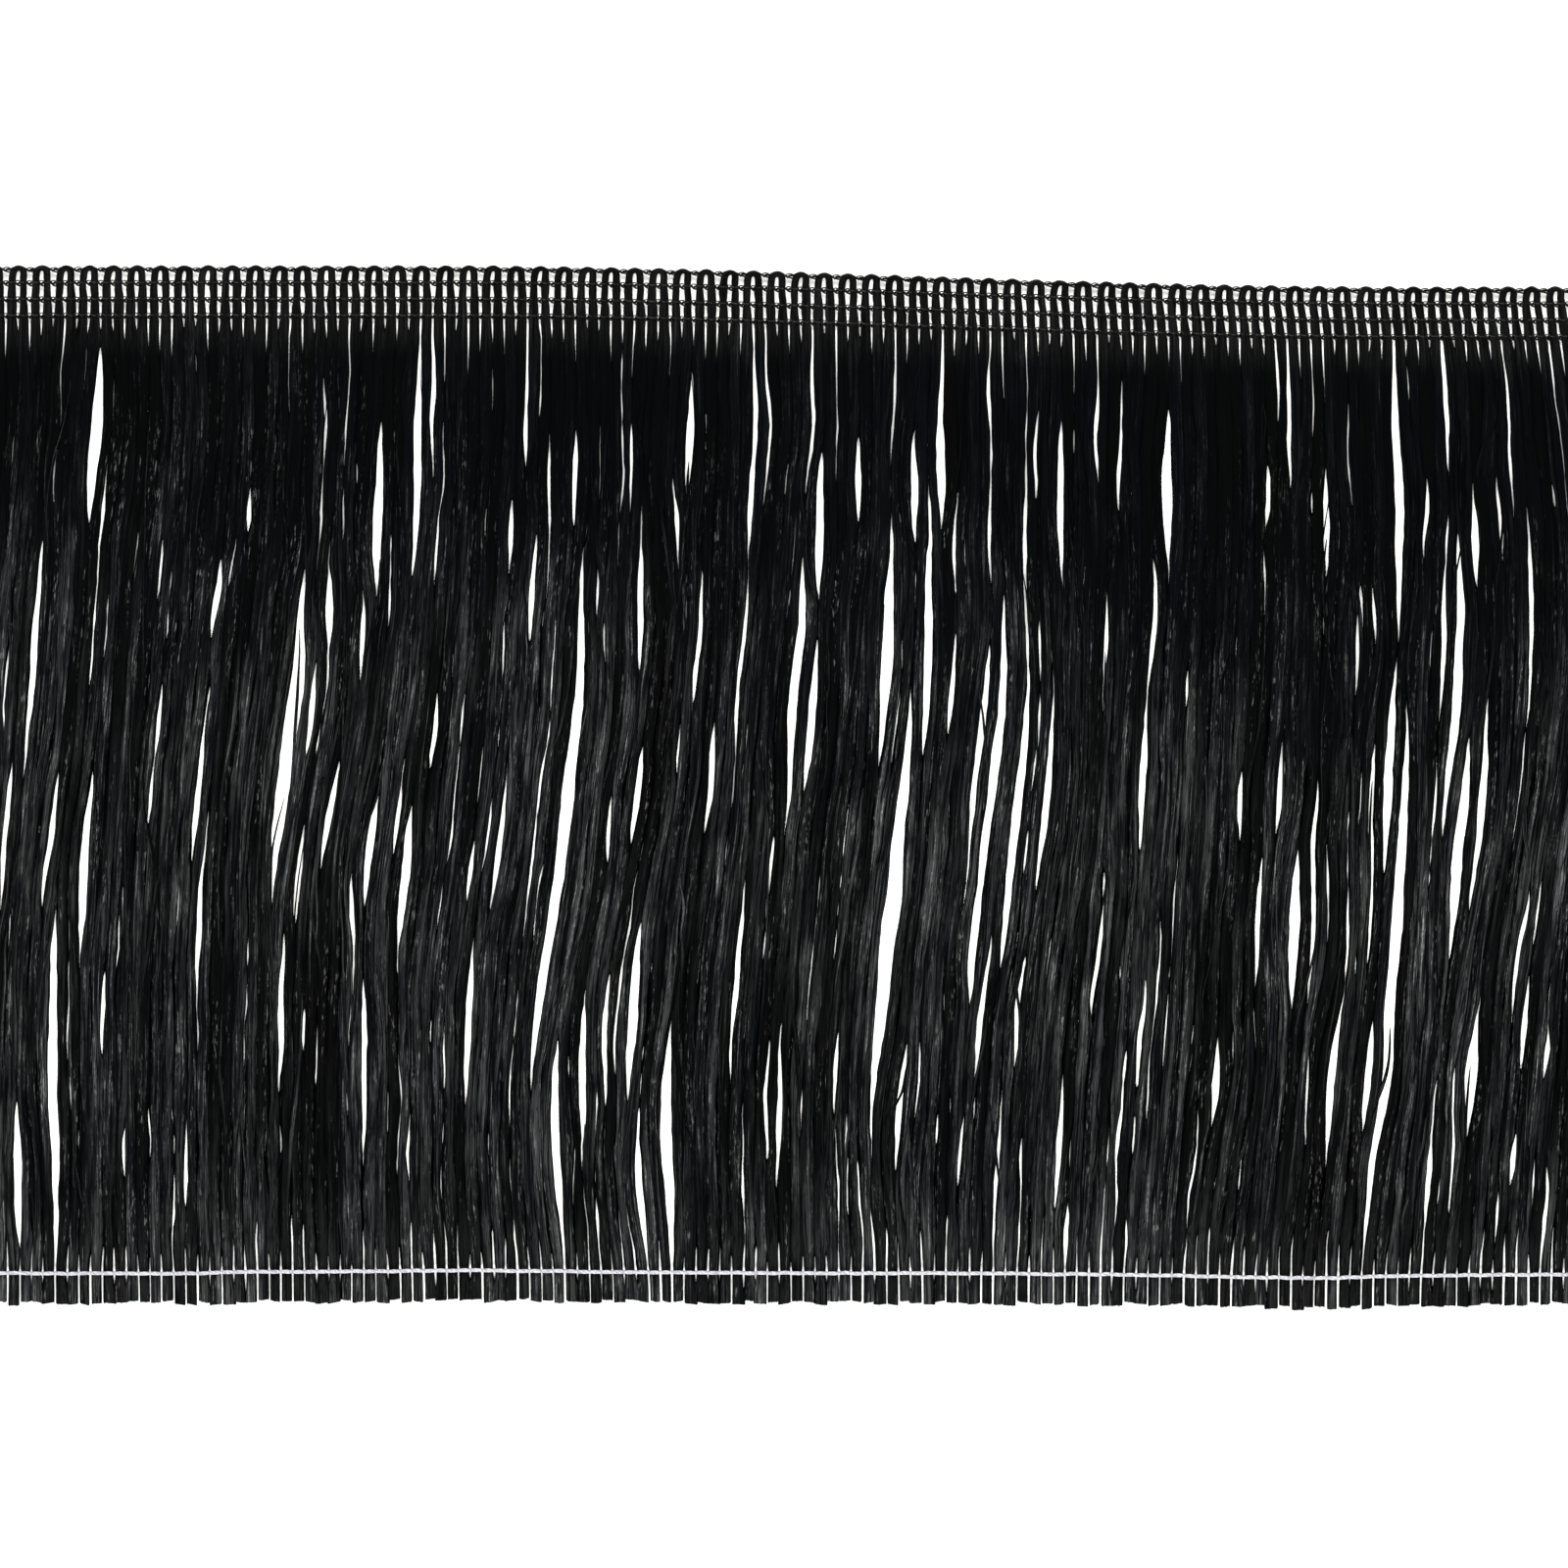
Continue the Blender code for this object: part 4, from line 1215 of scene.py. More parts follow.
@dataclass(frozen=True)
class HeadingStitch:
    """One row of black chain stitch across the heading, of three strands.

    In each gap between legs an upper arc and a slanted strand part, so that a small lens of light shows
    between them, and a short third strand makes the knot at the gap's left. The upper strand runs on
    over each leg as one fine line, and the others dip behind it. Painted sheen makes the upper strand
    lighter and the others darker.
    """

    layout: FringeLayout
    number: int
    row: StitchRow
    radii: tuple[float, ...] = (0.17 * MM, 0.23 * MM, 0.3 * MM)
    # Painted sheen of each strand: the upper strand lighter, the two that dip behind it darker.
    sheen_tones: tuple[float, ...] = (1.0, 0.3, 0.2)
    sides: int = 4
    points_a_leg: int = 12
    points_a_hump: int = 18
    stray: float = 0.05 * MM
    seed: int = 40

    band_strands: tuple[Strand, ...] = (
        strand((0.0, 0.0, 0.6), (0.25, 0.02, 0.66), (0.333, 0.24, 0.8), (0.417, 0.36, 0.8),
               (0.5, 0.4, 0.78), (0.583, 0.39, 0.78), (0.667, 0.3, 0.78), (0.75, 0.04, 0.66)),
        strand((0.0, -0.3, 0.16), (0.167, 0.0, 0.2), (0.25, 0.02, 0.76), (0.333, -0.16, 0.78),
               (0.417, -0.34, 0.72), (0.5, -0.48, 0.65), (0.583, -0.59, 0.6), (0.667, -0.65, 0.55),
               (0.75, -0.63, 0.25)),
        strand((0.0, 0.0, 0.16), (0.167, 0.0, 0.2), (0.25, 0.04, 0.76), (0.333, -0.02, 0.76),
               (0.417, -0.2, 0.6), (0.5, -0.4, 0.2), (0.583, 0.0, 0.18)),
    )
    hump_strands: tuple[Strand, ...] = (
        strand((0.0, 0.72, 0.74), (0.111, 0.63, 0.74), (0.222, 0.38, 0.74), (0.333, 0.08, 0.7),
               (0.389, 0.22, 0.72), (0.444, 0.33, 0.72), (0.5, 0.38, 0.7), (0.556, 0.36, 0.7),
               (0.611, 0.28, 0.72), (0.667, 0.1, 0.7), (0.778, 0.38, 0.74), (0.889, 0.63, 0.74)),
        strand((0.0, 0.0, 0.16), (0.222, 0.1, 0.2), (0.278, 0.14, 0.8), (0.333, -0.02, 0.8),
               (0.389, -0.16, 0.75), (0.444, -0.28, 0.72), (0.5, -0.38, 0.7), (0.556, -0.46, 0.68),
               (0.611, -0.53, 0.65), (0.667, -0.58, 0.6), (0.722, -0.6, 0.25), (0.778, -0.3, 0.18)),
        strand((0.0, 0.0, 0.16), (0.222, 0.1, 0.2), (0.278, 0.1, 0.8), (0.333, -0.04, 0.78),
               (0.389, -0.14, 0.7), (0.444, -0.3, 0.25), (0.5, 0.0, 0.18)),
    )

    def strand_path(self, points: Strand, rng: np.random.Generator) -> np.ndarray:
        """Lay one strand along the row.

        The place along the row is counted in legs, each repeat begins at a leg's or a loop's middle, and
        the repeat gives rise and height.

        Args:
            points: the strand's repeat.
            rng: source of its stray.

        Returns:
            Path, shape (places, 3).
        """
        plan = self.layout
        on_humps = self.row is StitchRow.HUMPS
        if on_humps:
            count = plan.loop_count * self.points_a_hump + 1
        else:
            count = plan.leg_count * self.points_a_leg + 1
        leg = np.linspace(-0.5, plan.leg_count - 0.5, count)
        place = 0.5 * (leg - 0.5) if on_humps else leg
        root = plan.root_x[0] + leg * plan.pitch
        below_peak = plan.stitch_rows[self.number - 1]
        x = plan.heading_x(root, below_peak) + (plan.hump_lean if on_humps else 0.0)
        rise, height = repeated(points, place)
        stray = self.stray * soft_noise(rng, 1, np.linspace(0.0, 1.0, count), 2 * plan.leg_count)[:, 0]
        y = plan.peak_y(root) - below_peak + rise + stray
        return np.stack([x - plan.centre_x, y, height], axis=-1)

    def build(self, material: bpy.types.Material) -> None:
        """Build the row's strands as one piece.

        Args:
            material: the thread's finish.
        """
        rng = np.random.default_rng(self.seed + self.number)
        strands = self.band_strands if self.row is StitchRow.BAND else self.hump_strands
        path = np.stack([self.strand_path(points, rng) for points in strands])
        along = distance_along(path)
        rings = tube(path, np.array(self.radii)[:, None, None, None], self.sides)
        # Painted sheen of each strand, as the mark tone.
        tone = np.broadcast_to(np.array(self.sheen_tones)[:, None], along.shape)
        piece = SweptShell(rings, along, {"tone": tone}).build(f"heading_stitch_{self.number}", material)
        settle_piece(piece, f"heading_thread_{self.number}")


@dataclass(frozen=True)
class HoldingStitch:
    """The white chain stitch above the cut ends: two plies that lie on the legs, and a tie behind them."""

    layout: FringeLayout
    radius: float = 0.25 * MM
    tie_radius: float = 0.15 * MM
    sides: int = 6
    points_a_leg: int = 10
    stray: float = 0.1 * MM
    seed: int = 60

    upper_ply: Strand = strand((0.0, 0.19, 1.62), (0.25, 0.14, 1.6), (0.5, -0.04, 1.36), (0.75, 0.14, 1.56))
    lower_ply: Strand = strand((0.0, -0.16, 1.6), (0.25, -0.14, 1.56), (0.5, -0.1, 1.5), (0.75, -0.14, 1.6))
    tie: Strand = strand((0.0, 0.3, 0.22), (0.38, 0.42, 0.4), (0.5, 0.22, 1.2), (0.62, 0.4, 0.45))

    def strand_path(self, points: Strand, run: LegRun) -> np.ndarray:
        """Lay one strand over the legs where they cross the thread's line. All strands stray alike.

        Args:
            points: the strand's repeat.
            run: the legs.

        Returns:
            Path, shape (places, 3).
        """
        plan = self.layout
        crossing = int(np.argmin(np.abs(run.y[:, 0] - plan.holding_y(run.x[-1, 0]))))
        legs = np.arange(plan.leg_count)
        count = plan.leg_count * self.points_a_leg + 1
        leg = np.linspace(-0.5, plan.leg_count - 0.5, count)
        past = np.minimum(leg, 0.0) + np.maximum(leg - legs[-1], 0.0)
        x = np.interp(leg, legs, run.x[crossing]) + past * plan.pitch
        rise, height = repeated(points, leg)
        rng = np.random.default_rng(self.seed)
        stray = self.stray * soft_noise(rng, 1, np.linspace(0.0, 1.0, count), plan.leg_count)[:, 0]
        return np.stack([x - plan.centre_x, plan.holding_y(x) + rise + stray, height], axis=-1)

    def build(self, run: LegRun, material: bpy.types.Material) -> None:
        """Build the thread's plies and its tie as one piece.

        Args:
            run: the legs.
            material: the thread's finish.
        """
        strands = (self.upper_ply, self.lower_ply, self.tie)
        path = np.stack([self.strand_path(points, run) for points in strands])
        along = distance_along(path)
        radii = np.array([self.radius, self.radius, self.tie_radius])[:, None, None, None]
        rings = tube(path, radii, self.sides)
        piece = SweptShell(rings, along, {"tone": np.ones_like(along)}).build("holding_stitch", material)
        settle_piece(piece, "holding_thread")


class Rise(NamedTuple):
    """A value that goes smoothly from one level to another while what it follows goes from start to end."""

    start: float
    end: float
    before: float = 0.0
    after: float = 1.0


class FibreScale(NamedTuple):
    """How fine the fibre noise is across a yarn, in steps round it, and along it, in steps a metre."""

    across: float
    along: float
    detail: float


class NodeSheet:
    """A small helper that lays nodes in a tree and joins them by socket names."""

    def __init__(self, tree: bpy.types.NodeTree, fibres: bpy.types.NodeTree | None = None) -> None:
        """Keep the tree and the shared fibre effect."""
        self.tree = tree
        self.fibres = fibres

    def add(self, kind: str, settings: dict[str, object] | None = None, **sockets: object) -> bpy.types.Node:
        """Add a node.

        Args:
            kind: Blender's name of the node type.
            settings: the node's own settings.
            sockets: input values by name, with spaces as underscores; an output socket is linked.

        Returns:
            The node.
        """
        node = self.tree.nodes.new(kind)
        for name, value in (settings or {}).items():
            setattr(node, name, value)
        for name, value in sockets.items():
            self.feed(node.inputs[name.replace("_", " ")], value)
        return node

    def feed(self, socket: bpy.types.NodeSocket, value: object) -> None:
        """Link an output into a socket, or set the socket's own value.

        Args:
            socket: the input socket.
            value: an output socket, a number or a colour.
        """
        if isinstance(value, bpy.types.NodeSocket):
            self.tree.links.new(value, socket)
        else:
            socket.default_value = value

    def calc(self, operation: str, *values: object) -> bpy.types.NodeSocket:
        """Add a Math node.

        Args:
            operation: Blender's name of the operation.
            values: numbers or output sockets, in the node's order.

        Returns:
            The result's socket.
        """
        node = self.add("ShaderNodeMath", {"operation": operation})
        for socket, value in zip(node.inputs, values):
            self.feed(socket, value)
        return node.outputs[0]

    def times(self, first: object, *others: object) -> object:
        """Multiply values in turn.

        Args:
            first: a number or an output socket.
            others: the factors.

        Returns:
            The product's socket.
        """
        for other in others:
            first = self.calc("MULTIPLY", first, other)
        return first

    def rise(self, value: object, rise: Rise) -> bpy.types.NodeSocket:
        """Let a result rise or fall smoothly as a value goes from the rise's start to its end.

        Args:
            value: what the result follows.
            rise: where it starts and ends, and the results there.

        Returns:
            The result's socket.
        """
        node = self.add("ShaderNodeMapRange", {"interpolation_type": "SMOOTHSTEP"}, Value=value,
                        From_Min=rise.start, From_Max=rise.end, To_Min=rise.before, To_Max=rise.after)
        return node.outputs["Result"]

    def blend(self, factor: object, first: object, second: object) -> bpy.types.NodeSocket:
        """Blend two colours.

        Args:
            factor: share of the second colour.
            first: colour at factor 0.
            second: colour at factor 1.

        Returns:
            The result's socket.
        """
        node = self.add("ShaderNodeMix", {"data_type": "RGBA"}, Factor=factor)
        self.feed(node.inputs[6], first)
        self.feed(node.inputs[7], second)
        return node.outputs[2]

    def mark(self, name: str) -> bpy.types.NodeSocket:
        """Read one of the mesh's named values."""
        return self.add("ShaderNodeAttribute", {"attribute_name": name}).outputs["Fac"]

    def fibre(self, scale: FibreScale, slant: float = 0.0) -> bpy.types.NodeSocket:
        """Place the shared fibres.

        Args:
            scale: how fine they are.
            slant: how far they wind round the yarn along it.

        Returns:
            The fibres' socket.
        """
        node = self.add("ShaderNodeGroup", {"node_tree": self.fibres}, Across=scale.across, Along=scale.along,
                        Detail=scale.detail, Slant=slant)
        return node.outputs["Fibre"]

    def relief(self, height: object, distance: float) -> bpy.types.NodeSocket:
        """Turn a height into a fine relief of the surface, at half strength."""
        return self.add("ShaderNodeBump", Height=height, Strength=0.5, Distance=distance).outputs["Normal"]


def start_material(name: str, fibres: bpy.types.NodeTree | None = None
                   ) -> tuple[bpy.types.Material, NodeSheet, bpy.types.Node]:
    """Start a material.

    Args:
        name: name of the material.
        fibres: the shared fibre effect, where the material uses it.

    Returns:
        The material, the sheet for its nodes, and its shader.
    """
    material = bpy.data.materials.new(name)
    material.use_nodes = True
    return material, NodeSheet(material.node_tree, fibres), material.node_tree.nodes["Principled BSDF"]


def lengthwise_fibre_group() -> bpy.types.NodeTree:
    """Build the shared effect of fibres that run along a yarn.

    Noise is stretched along the yarn's own UV map, so that it forms long fine streaks. A slant winds
    them round the yarn.

    Returns:
        The node group.
    """
    group = bpy.data.node_groups.new("lengthwise_fibres", "ShaderNodeTree")
    for name, value in (("Across", 30.0), ("Along", 120.0), ("Detail", 3.0), ("Slant", 0.0)):
        socket = group.interface.new_socket(name, in_out="INPUT", socket_type="NodeSocketFloat")
        socket.default_value = value
    group.interface.new_socket("Fibre", in_out="OUTPUT", socket_type="NodeSocketFloat")
    sheet = NodeSheet(group)
    entry = sheet.add("NodeGroupInput").outputs
    uv = sheet.add("ShaderNodeUVMap", {"uv_map": "yarn"})
    split = sheet.add("ShaderNodeSeparateXYZ", Vector=uv.outputs["UV"]).outputs
    slant = sheet.calc("MULTIPLY", split["Y"], entry["Slant"])
    across = sheet.calc("MULTIPLY", sheet.calc("ADD", split["X"], slant), entry["Across"])
    along = sheet.calc("MULTIPLY", split["Y"], entry["Along"])
    place = sheet.add("ShaderNodeCombineXYZ", X=across, Y=along)
    noise = sheet.add("ShaderNodeTexNoise", {"noise_dimensions": "2D"}, Vector=place.outputs[0],
                      Scale=1.0, Detail=entry["Detail"], Roughness=0.6)
    sheet.feed(sheet.add("NodeGroupOutput").inputs["Fibre"], noise.outputs[0])
    return group


@dataclass(frozen=True)
class YarnMasks:
    """What the parts of the raffia's finish read in common.

    Attributes:
        drop: way down the leg, from 0 at the root line to 1 at the cut end, and 0 in the heading.
        tone: slow change from yarn to yarn.
        cloud: slow change over the whole fringe, from -0.5 to 0.5.
        sheen_reach: how far the painted grey sheen reaches, which is the drop moved by the cloud and towards
            the left.
        coarse, fine, patch, crease: fibre noise from wide to fine, and short creases.
    """

    drop: bpy.types.NodeSocket
    tone: bpy.types.NodeSocket
    cloud: bpy.types.NodeSocket
    sheen_reach: bpy.types.NodeSocket
    coarse: bpy.types.NodeSocket
    fine: bpy.types.NodeSocket
    patch: bpy.types.NodeSocket
    crease: bpy.types.NodeSocket


@dataclass(frozen=True)
class RaffiaFinish:
    """Black viscose raffia: near black, with painted grey sheen in flat facets, fine streaks and glints along
    it, and painted shade at its seams.
    """

    heading_black: Colour = (0.0009, 0.0010, 0.0009, 1.0)
    olive_black: Colour = (0.0009, 0.0010, 0.0009, 1.0)
    blue_black: Colour = (0.0009, 0.0012, 0.0017, 1.0)
    # Painted shade at the seams between neighbouring yarns.
    seam_shade_black: Colour = (0.0002, 0.0002, 0.0002, 1.0)
    # Grey of the painted sheen: highlights painted onto the near-black yarn.
    sheen_grey: Colour = (0.249, 0.252, 0.252, 1.0)

    coarse: FibreScale = FibreScale(8.0, 45.0, 2.0)
    fine: FibreScale = FibreScale(19.0, 90.0, 3.0)
    patch: FibreScale = FibreScale(3.0, 45.0, 2.0)
    crease: FibreScale = FibreScale(9.0, 900.0, 3.0)
    wide_facets: FibreScale = FibreScale(2.6, 13.0, 1.0)
    narrow_facets: FibreScale = FibreScale(6.0, 24.0, 1.0)
    # Short fine marks of painted glint.
    glints: FibreScale = FibreScale(15.0, 420.0, 2.0)
    blotches: FibreScale = FibreScale(1.6, 70.0, 3.0)

    cloud_scale: float = 22.0
    cloud_drop: float = 0.36
    dark_aside: float = 0.45

    # Painted highlight grey of the wide and narrow facets, and what it follows.
    wide_grey: Rise = Rise(0.48, 0.52, 0.0, 0.092)
    narrow_grey: Rise = Rise(0.47, 0.53, 0.006, 0.062)
    facet_tone: Rise = Rise(0.15, 0.8, 0.1, 1.0)
    facet_lines: Rise = Rise(0.36, 0.64, 0.64, 1.08)
    facet_sheen_reach: Rise = Rise(0.17, 0.54, 0.06, 1.0)
    facet_cloud: Rise = Rise(-0.26, 0.22, 0.34, 1.0)

    # Painted highlight streaks, and what they follow.
    streak_coarse: Rise = Rise(0.46, 0.72)
    streak_fine: Rise = Rise(0.42, 0.70)
    streak_shine: Rise = Rise(0.75, 1.35)
    shine_tone: float = 0.8
    shine_patch: float = 1.2
    streak_flecks: Rise = Rise(0.42, 0.60, 0.4, 1.1)
    streak_sheen_reach: Rise = Rise(0.08, 0.5, 0.05, 0.59)

    # Painted glints: where the marks, the patches and the sheen's reach meet.
    glint_marks: Rise = Rise(0.56, 0.70)
    glint_patches: Rise = Rise(0.53, 0.66)
    glint_sheen_reach: Rise = Rise(0.06, 0.3, 0.0, 0.28)
    blotch_shade: Rise = Rise(0.36, 0.60, 0.44, 1.16)
    end_grey: Rise = Rise(0.88, 0.96, 0.0006, 0.0146)
    # The heading's own painted grey sheen, even across the yarn.
    heading_share: Rise = Rise(0.0, 0.04, 1.0, 0.0)
    heading_grey: Rise = Rise(0.42, 0.62, 0.006, 0.019)
    # Painted shade lines of wrinkles, which cut through the painted sheen.
    wrinkle_shade: tuple[tuple[FibreScale, Rise], ...] = (
        (FibreScale(5.0, 26.0, 1.0), Rise(0.0, 0.07, 0.04, 1.0)),
        (FibreScale(9.0, 130.0, 1.0), Rise(0.0, 0.08, 0.3, 1.0)))

    crest_place: float = 0.34
    rim_patch: float = 1.6
    rim_middle: float = 1.3
    rim_stray: float = 0.22
    # Painted light over the crest, and painted shade at the seams.
    rim_fade: Rise = Rise(0.25, 0.33, 1.0, 0.0)
    rim_shade: Rise = Rise(0.2, 0.5, 0.6, 0.1)
    blue_share: Rise = Rise(0.0, 0.04)
    leg_share: Rise = Rise(0.0, 0.03)

    roughness_low: float = 0.24
    roughness_high: float = 0.36
    specular: float = 0.006
    fine_height: float = 0.5
    coarse_height: float = 0.8
    crease_height: float = 0.35
    relief: float = 0.04 * MM

    def read_masks(self, sheet: NodeSheet) -> YarnMasks:
        """Read the marks, the clouds and the fibres that the whole finish uses.

        Args:
            sheet: the material's nodes.

        Returns:
            The masks.
        """
        drop = sheet.mark("drop")
        place = sheet.add("ShaderNodeTexCoord").outputs["Object"]
        cloud = sheet.add("ShaderNodeTexNoise", Vector=place, Scale=self.cloud_scale, Detail=2.0).outputs[0]
        cloud = sheet.calc("SUBTRACT", cloud, 0.5)
        aside = sheet.add("ShaderNodeSeparateXYZ", Vector=place).outputs["X"]
        # Reach of the painted grey sheen: the drop, moved by the cloud and towards the left.
        sheen_reach = sheet.calc("MULTIPLY_ADD", cloud, self.cloud_drop, drop)
        sheen_reach = sheet.calc("MULTIPLY_ADD", aside, -self.dark_aside, sheen_reach)
        return YarnMasks(drop=drop, tone=sheet.mark("tone"), cloud=cloud, sheen_reach=sheen_reach,
                         coarse=sheet.fibre(self.coarse), fine=sheet.fibre(self.fine),
                         patch=sheet.fibre(self.patch), crease=sheet.fibre(self.crease))

    def facets(self, sheet: NodeSheet, masks: YarnMasks) -> bpy.types.NodeSocket:
        """Painted highlights of the long flat facets, in grey: sharply cut wide and narrow ones, finely
        lined, in clouds.

        Args:
            sheet: the material's nodes.
            masks: the masks.

        Returns:
            The facets' painted highlight grey.
        """
        wide = sheet.rise(sheet.fibre(self.wide_facets), self.wide_grey)
        narrow = sheet.rise(sheet.fibre(self.narrow_facets), self.narrow_grey)
        return sheet.times(sheet.calc("ADD", wide, narrow),
                           sheet.rise(masks.tone, self.facet_tone),
                           sheet.rise(masks.fine, self.facet_lines),
                           sheet.rise(masks.sheen_reach, self.facet_sheen_reach),
                           sheet.rise(masks.cloud, self.facet_cloud))

    def streaks(self, sheet: NodeSheet, masks: YarnMasks) -> bpy.types.NodeSocket:
        """Painted highlights of the fine streaks, in grey: where coarse and fine fibres meet on a bright
        yarn, in flecks.

        Args:
            sheet: the material's nodes.
            masks: the masks.

        Returns:
            The streaks' grey.
        """
        shine = sheet.calc("MULTIPLY_ADD", masks.tone, self.shine_tone,
                           sheet.calc("MULTIPLY", masks.patch, self.shine_patch))
        return sheet.times(sheet.rise(masks.coarse, self.streak_coarse),
                           sheet.rise(masks.fine, self.streak_fine),
                           sheet.rise(shine, self.streak_shine),
                           sheet.rise(masks.crease, self.streak_flecks),
                           sheet.rise(masks.sheen_reach, self.streak_sheen_reach))

    def rim(self, sheet: NodeSheet, masks: YarnMasks) -> bpy.types.NodeSocket:
        """Share of painted light on the yarn: full on its crest, and none at its edges, which are the seams
        and take painted shade.

        Args:
            sheet: the material's nodes.
            masks: the masks.

        Returns:
            The share.
        """
        uv = sheet.add("ShaderNodeUVMap", {"uv_map": "yarn"})
        around = sheet.add("ShaderNodeSeparateXYZ", Vector=uv.outputs["UV"]).outputs["X"]
        off_crest = sheet.calc("ABSOLUTE", sheet.calc("SUBTRACT", around, self.crest_place))
        stray = sheet.calc("MULTIPLY_ADD", masks.patch, self.rim_patch, masks.coarse)
        stray = sheet.calc("SUBTRACT", stray, self.rim_middle)
        return sheet.rise(sheet.calc("MULTIPLY_ADD", stray, self.rim_stray, off_crest), self.rim_fade)

    def light(self, sheet: NodeSheet, masks: YarnMasks, rim: bpy.types.NodeSocket) -> bpy.types.NodeSocket:
        """All the painted grey sheen that lies on the black.

        Painted highlights of facets and streaks lie in blotches, and painted glints and grey cut ends are
        added. All of it fades at the seams, the heading gets its own painted grey sheen, and painted
        shade lines of wrinkles cross the whole.

        Args:
            sheet: the material's nodes.
            masks: the masks.
            rim: share of light on the yarn.

        Returns:
            The share of painted grey sheen.
        """
        grey = sheet.calc("ADD", self.streaks(sheet, masks), self.facets(sheet, masks))
        grey = sheet.times(grey, sheet.rise(sheet.fibre(self.blotches), self.blotch_shade))
        grey = sheet.calc("ADD", grey, sheet.rise(masks.drop, self.end_grey))
        # Painted glints: short grey marks in patches, where the sheen reaches.
        glint = sheet.times(sheet.rise(sheet.fibre(self.glints), self.glint_marks),
                            sheet.rise(masks.patch, self.glint_patches),
                            sheet.rise(masks.sheen_reach, self.glint_sheen_reach))
        grey = sheet.times(sheet.calc("ADD", grey, glint), rim)
        # Add the heading's painted grey sheen, even across its width.
        grey = sheet.calc("MULTIPLY_ADD", sheet.rise(masks.drop, self.heading_share),
                          sheet.rise(masks.coarse, self.heading_grey), grey)
        # Painted shade lines where the yarn wrinkles.
        for scale, shade in self.wrinkle_shade:
            line = sheet.calc("ABSOLUTE", sheet.calc("SUBTRACT", sheet.fibre(scale), 0.5))
            grey = sheet.times(grey, sheet.rise(line, shade))
        return grey

    def ground(self, sheet: NodeSheet, masks: YarnMasks, rim: bpy.types.NodeSocket) -> bpy.types.NodeSocket:
        """The black under the painted grey sheen: olive to blue from yarn to yarn, and darker at the seams
        with painted shade.

        Args:
            sheet: the material's nodes.
            masks: the masks.
            rim: share of light on the yarn.

        Returns:
            The colour.
        """
        black = sheet.blend(sheet.times(masks.tone, sheet.rise(masks.drop, self.blue_share)),
                            self.olive_black, self.blue_black)
        black = sheet.blend(sheet.rise(masks.drop, self.leg_share), self.heading_black, black)
        # Painted shade: the ground darkens towards the seam black at each yarn's edges, deeper down the legs.
        shade = sheet.rise(masks.drop, self.rim_shade)
        seam = sheet.calc("MULTIPLY_ADD", rim, sheet.calc("SUBTRACT", 1.0, shade), shade)
        return sheet.blend(seam, self.seam_shade_black, black)

    def make(self, fibres: bpy.types.NodeTree) -> bpy.types.Material:
        """Build the material.

        The painted grey sheen of facets, streaks and glints grows stronger down the leg and weaker to the
        right, over a ground of near black with painted shade at the seams. Fibres and creases stand out as a
        fine relief.

        Args:
            fibres: the shared fibre effect.

        Returns:
            The material.
        """
        material, sheet, shader = start_material("black_raffia", fibres)
        masks = self.read_masks(sheet)
        rim = self.rim(sheet, masks)
        # Blend the ground, with its painted seam shade, towards the grey of the painted sheen.
        colour = sheet.blend(self.light(sheet, masks, rim), self.ground(sheet, masks, rim), self.sheen_grey)
        sheet.feed(shader.inputs["Base Color"], colour)
        spread = self.roughness_high - self.roughness_low
        sheet.feed(shader.inputs["Roughness"],
                   sheet.calc("MULTIPLY_ADD", masks.fine, spread, self.roughness_low))
        shader.inputs["Specular IOR Level"].default_value = self.specular
        height = sheet.calc("MULTIPLY_ADD", masks.fine, self.fine_height,
                            sheet.calc("MULTIPLY", masks.coarse, self.coarse_height))
        height = sheet.calc("MULTIPLY_ADD", masks.crease, self.crease_height, height)
        sheet.feed(shader.inputs["Normal"], sheet.relief(height, self.relief))
        return material


@dataclass(frozen=True)
class ThreadFinish:
    """Sewing thread: a matt colour with plies that wind round it."""

    name: str
    dark: Colour
    light: Colour
    roughness: float
    specular: float
    slant: float
    plies: FibreScale = FibreScale(4.0, 140.0, 2.0)
    ply_edges: Rise = Rise(0.35, 0.65)
    relief: float = 0.06 * MM

    def make(self, fibres: bpy.types.NodeTree) -> bpy.types.Material:
        """Build the material: slanted fibres colour the thread and stand out as its plies. The mark tone
        scales the lighter plies, as a strand's painted sheen.

        Args:
            fibres: the shared fibre effect.

        Returns:
            The material.
        """
        material, sheet, shader = start_material(self.name, fibres)
        plies = sheet.fibre(self.plies, self.slant)
        lit = sheet.times(sheet.rise(plies, self.ply_edges), sheet.mark("tone"))
        sheet.feed(shader.inputs["Base Color"], sheet.blend(lit, self.dark, self.light))
        shader.inputs["Roughness"].default_value = self.roughness
        shader.inputs["Specular IOR Level"].default_value = self.specular
        sheet.feed(shader.inputs["Normal"], sheet.relief(plies, self.relief))
        return material


BLACK_THREAD = ThreadFinish("black_thread", (0.0040, 0.0036, 0.0034, 1.0), (0.030, 0.030, 0.031, 1.0),
                            roughness=0.6, specular=0.0, slant=900.0)
WHITE_THREAD = ThreadFinish("white_thread", (0.24, 0.225, 0.27, 1.0), (0.44, 0.44, 0.44, 1.0),
                            roughness=0.75, specular=0.1, slant=700.0)


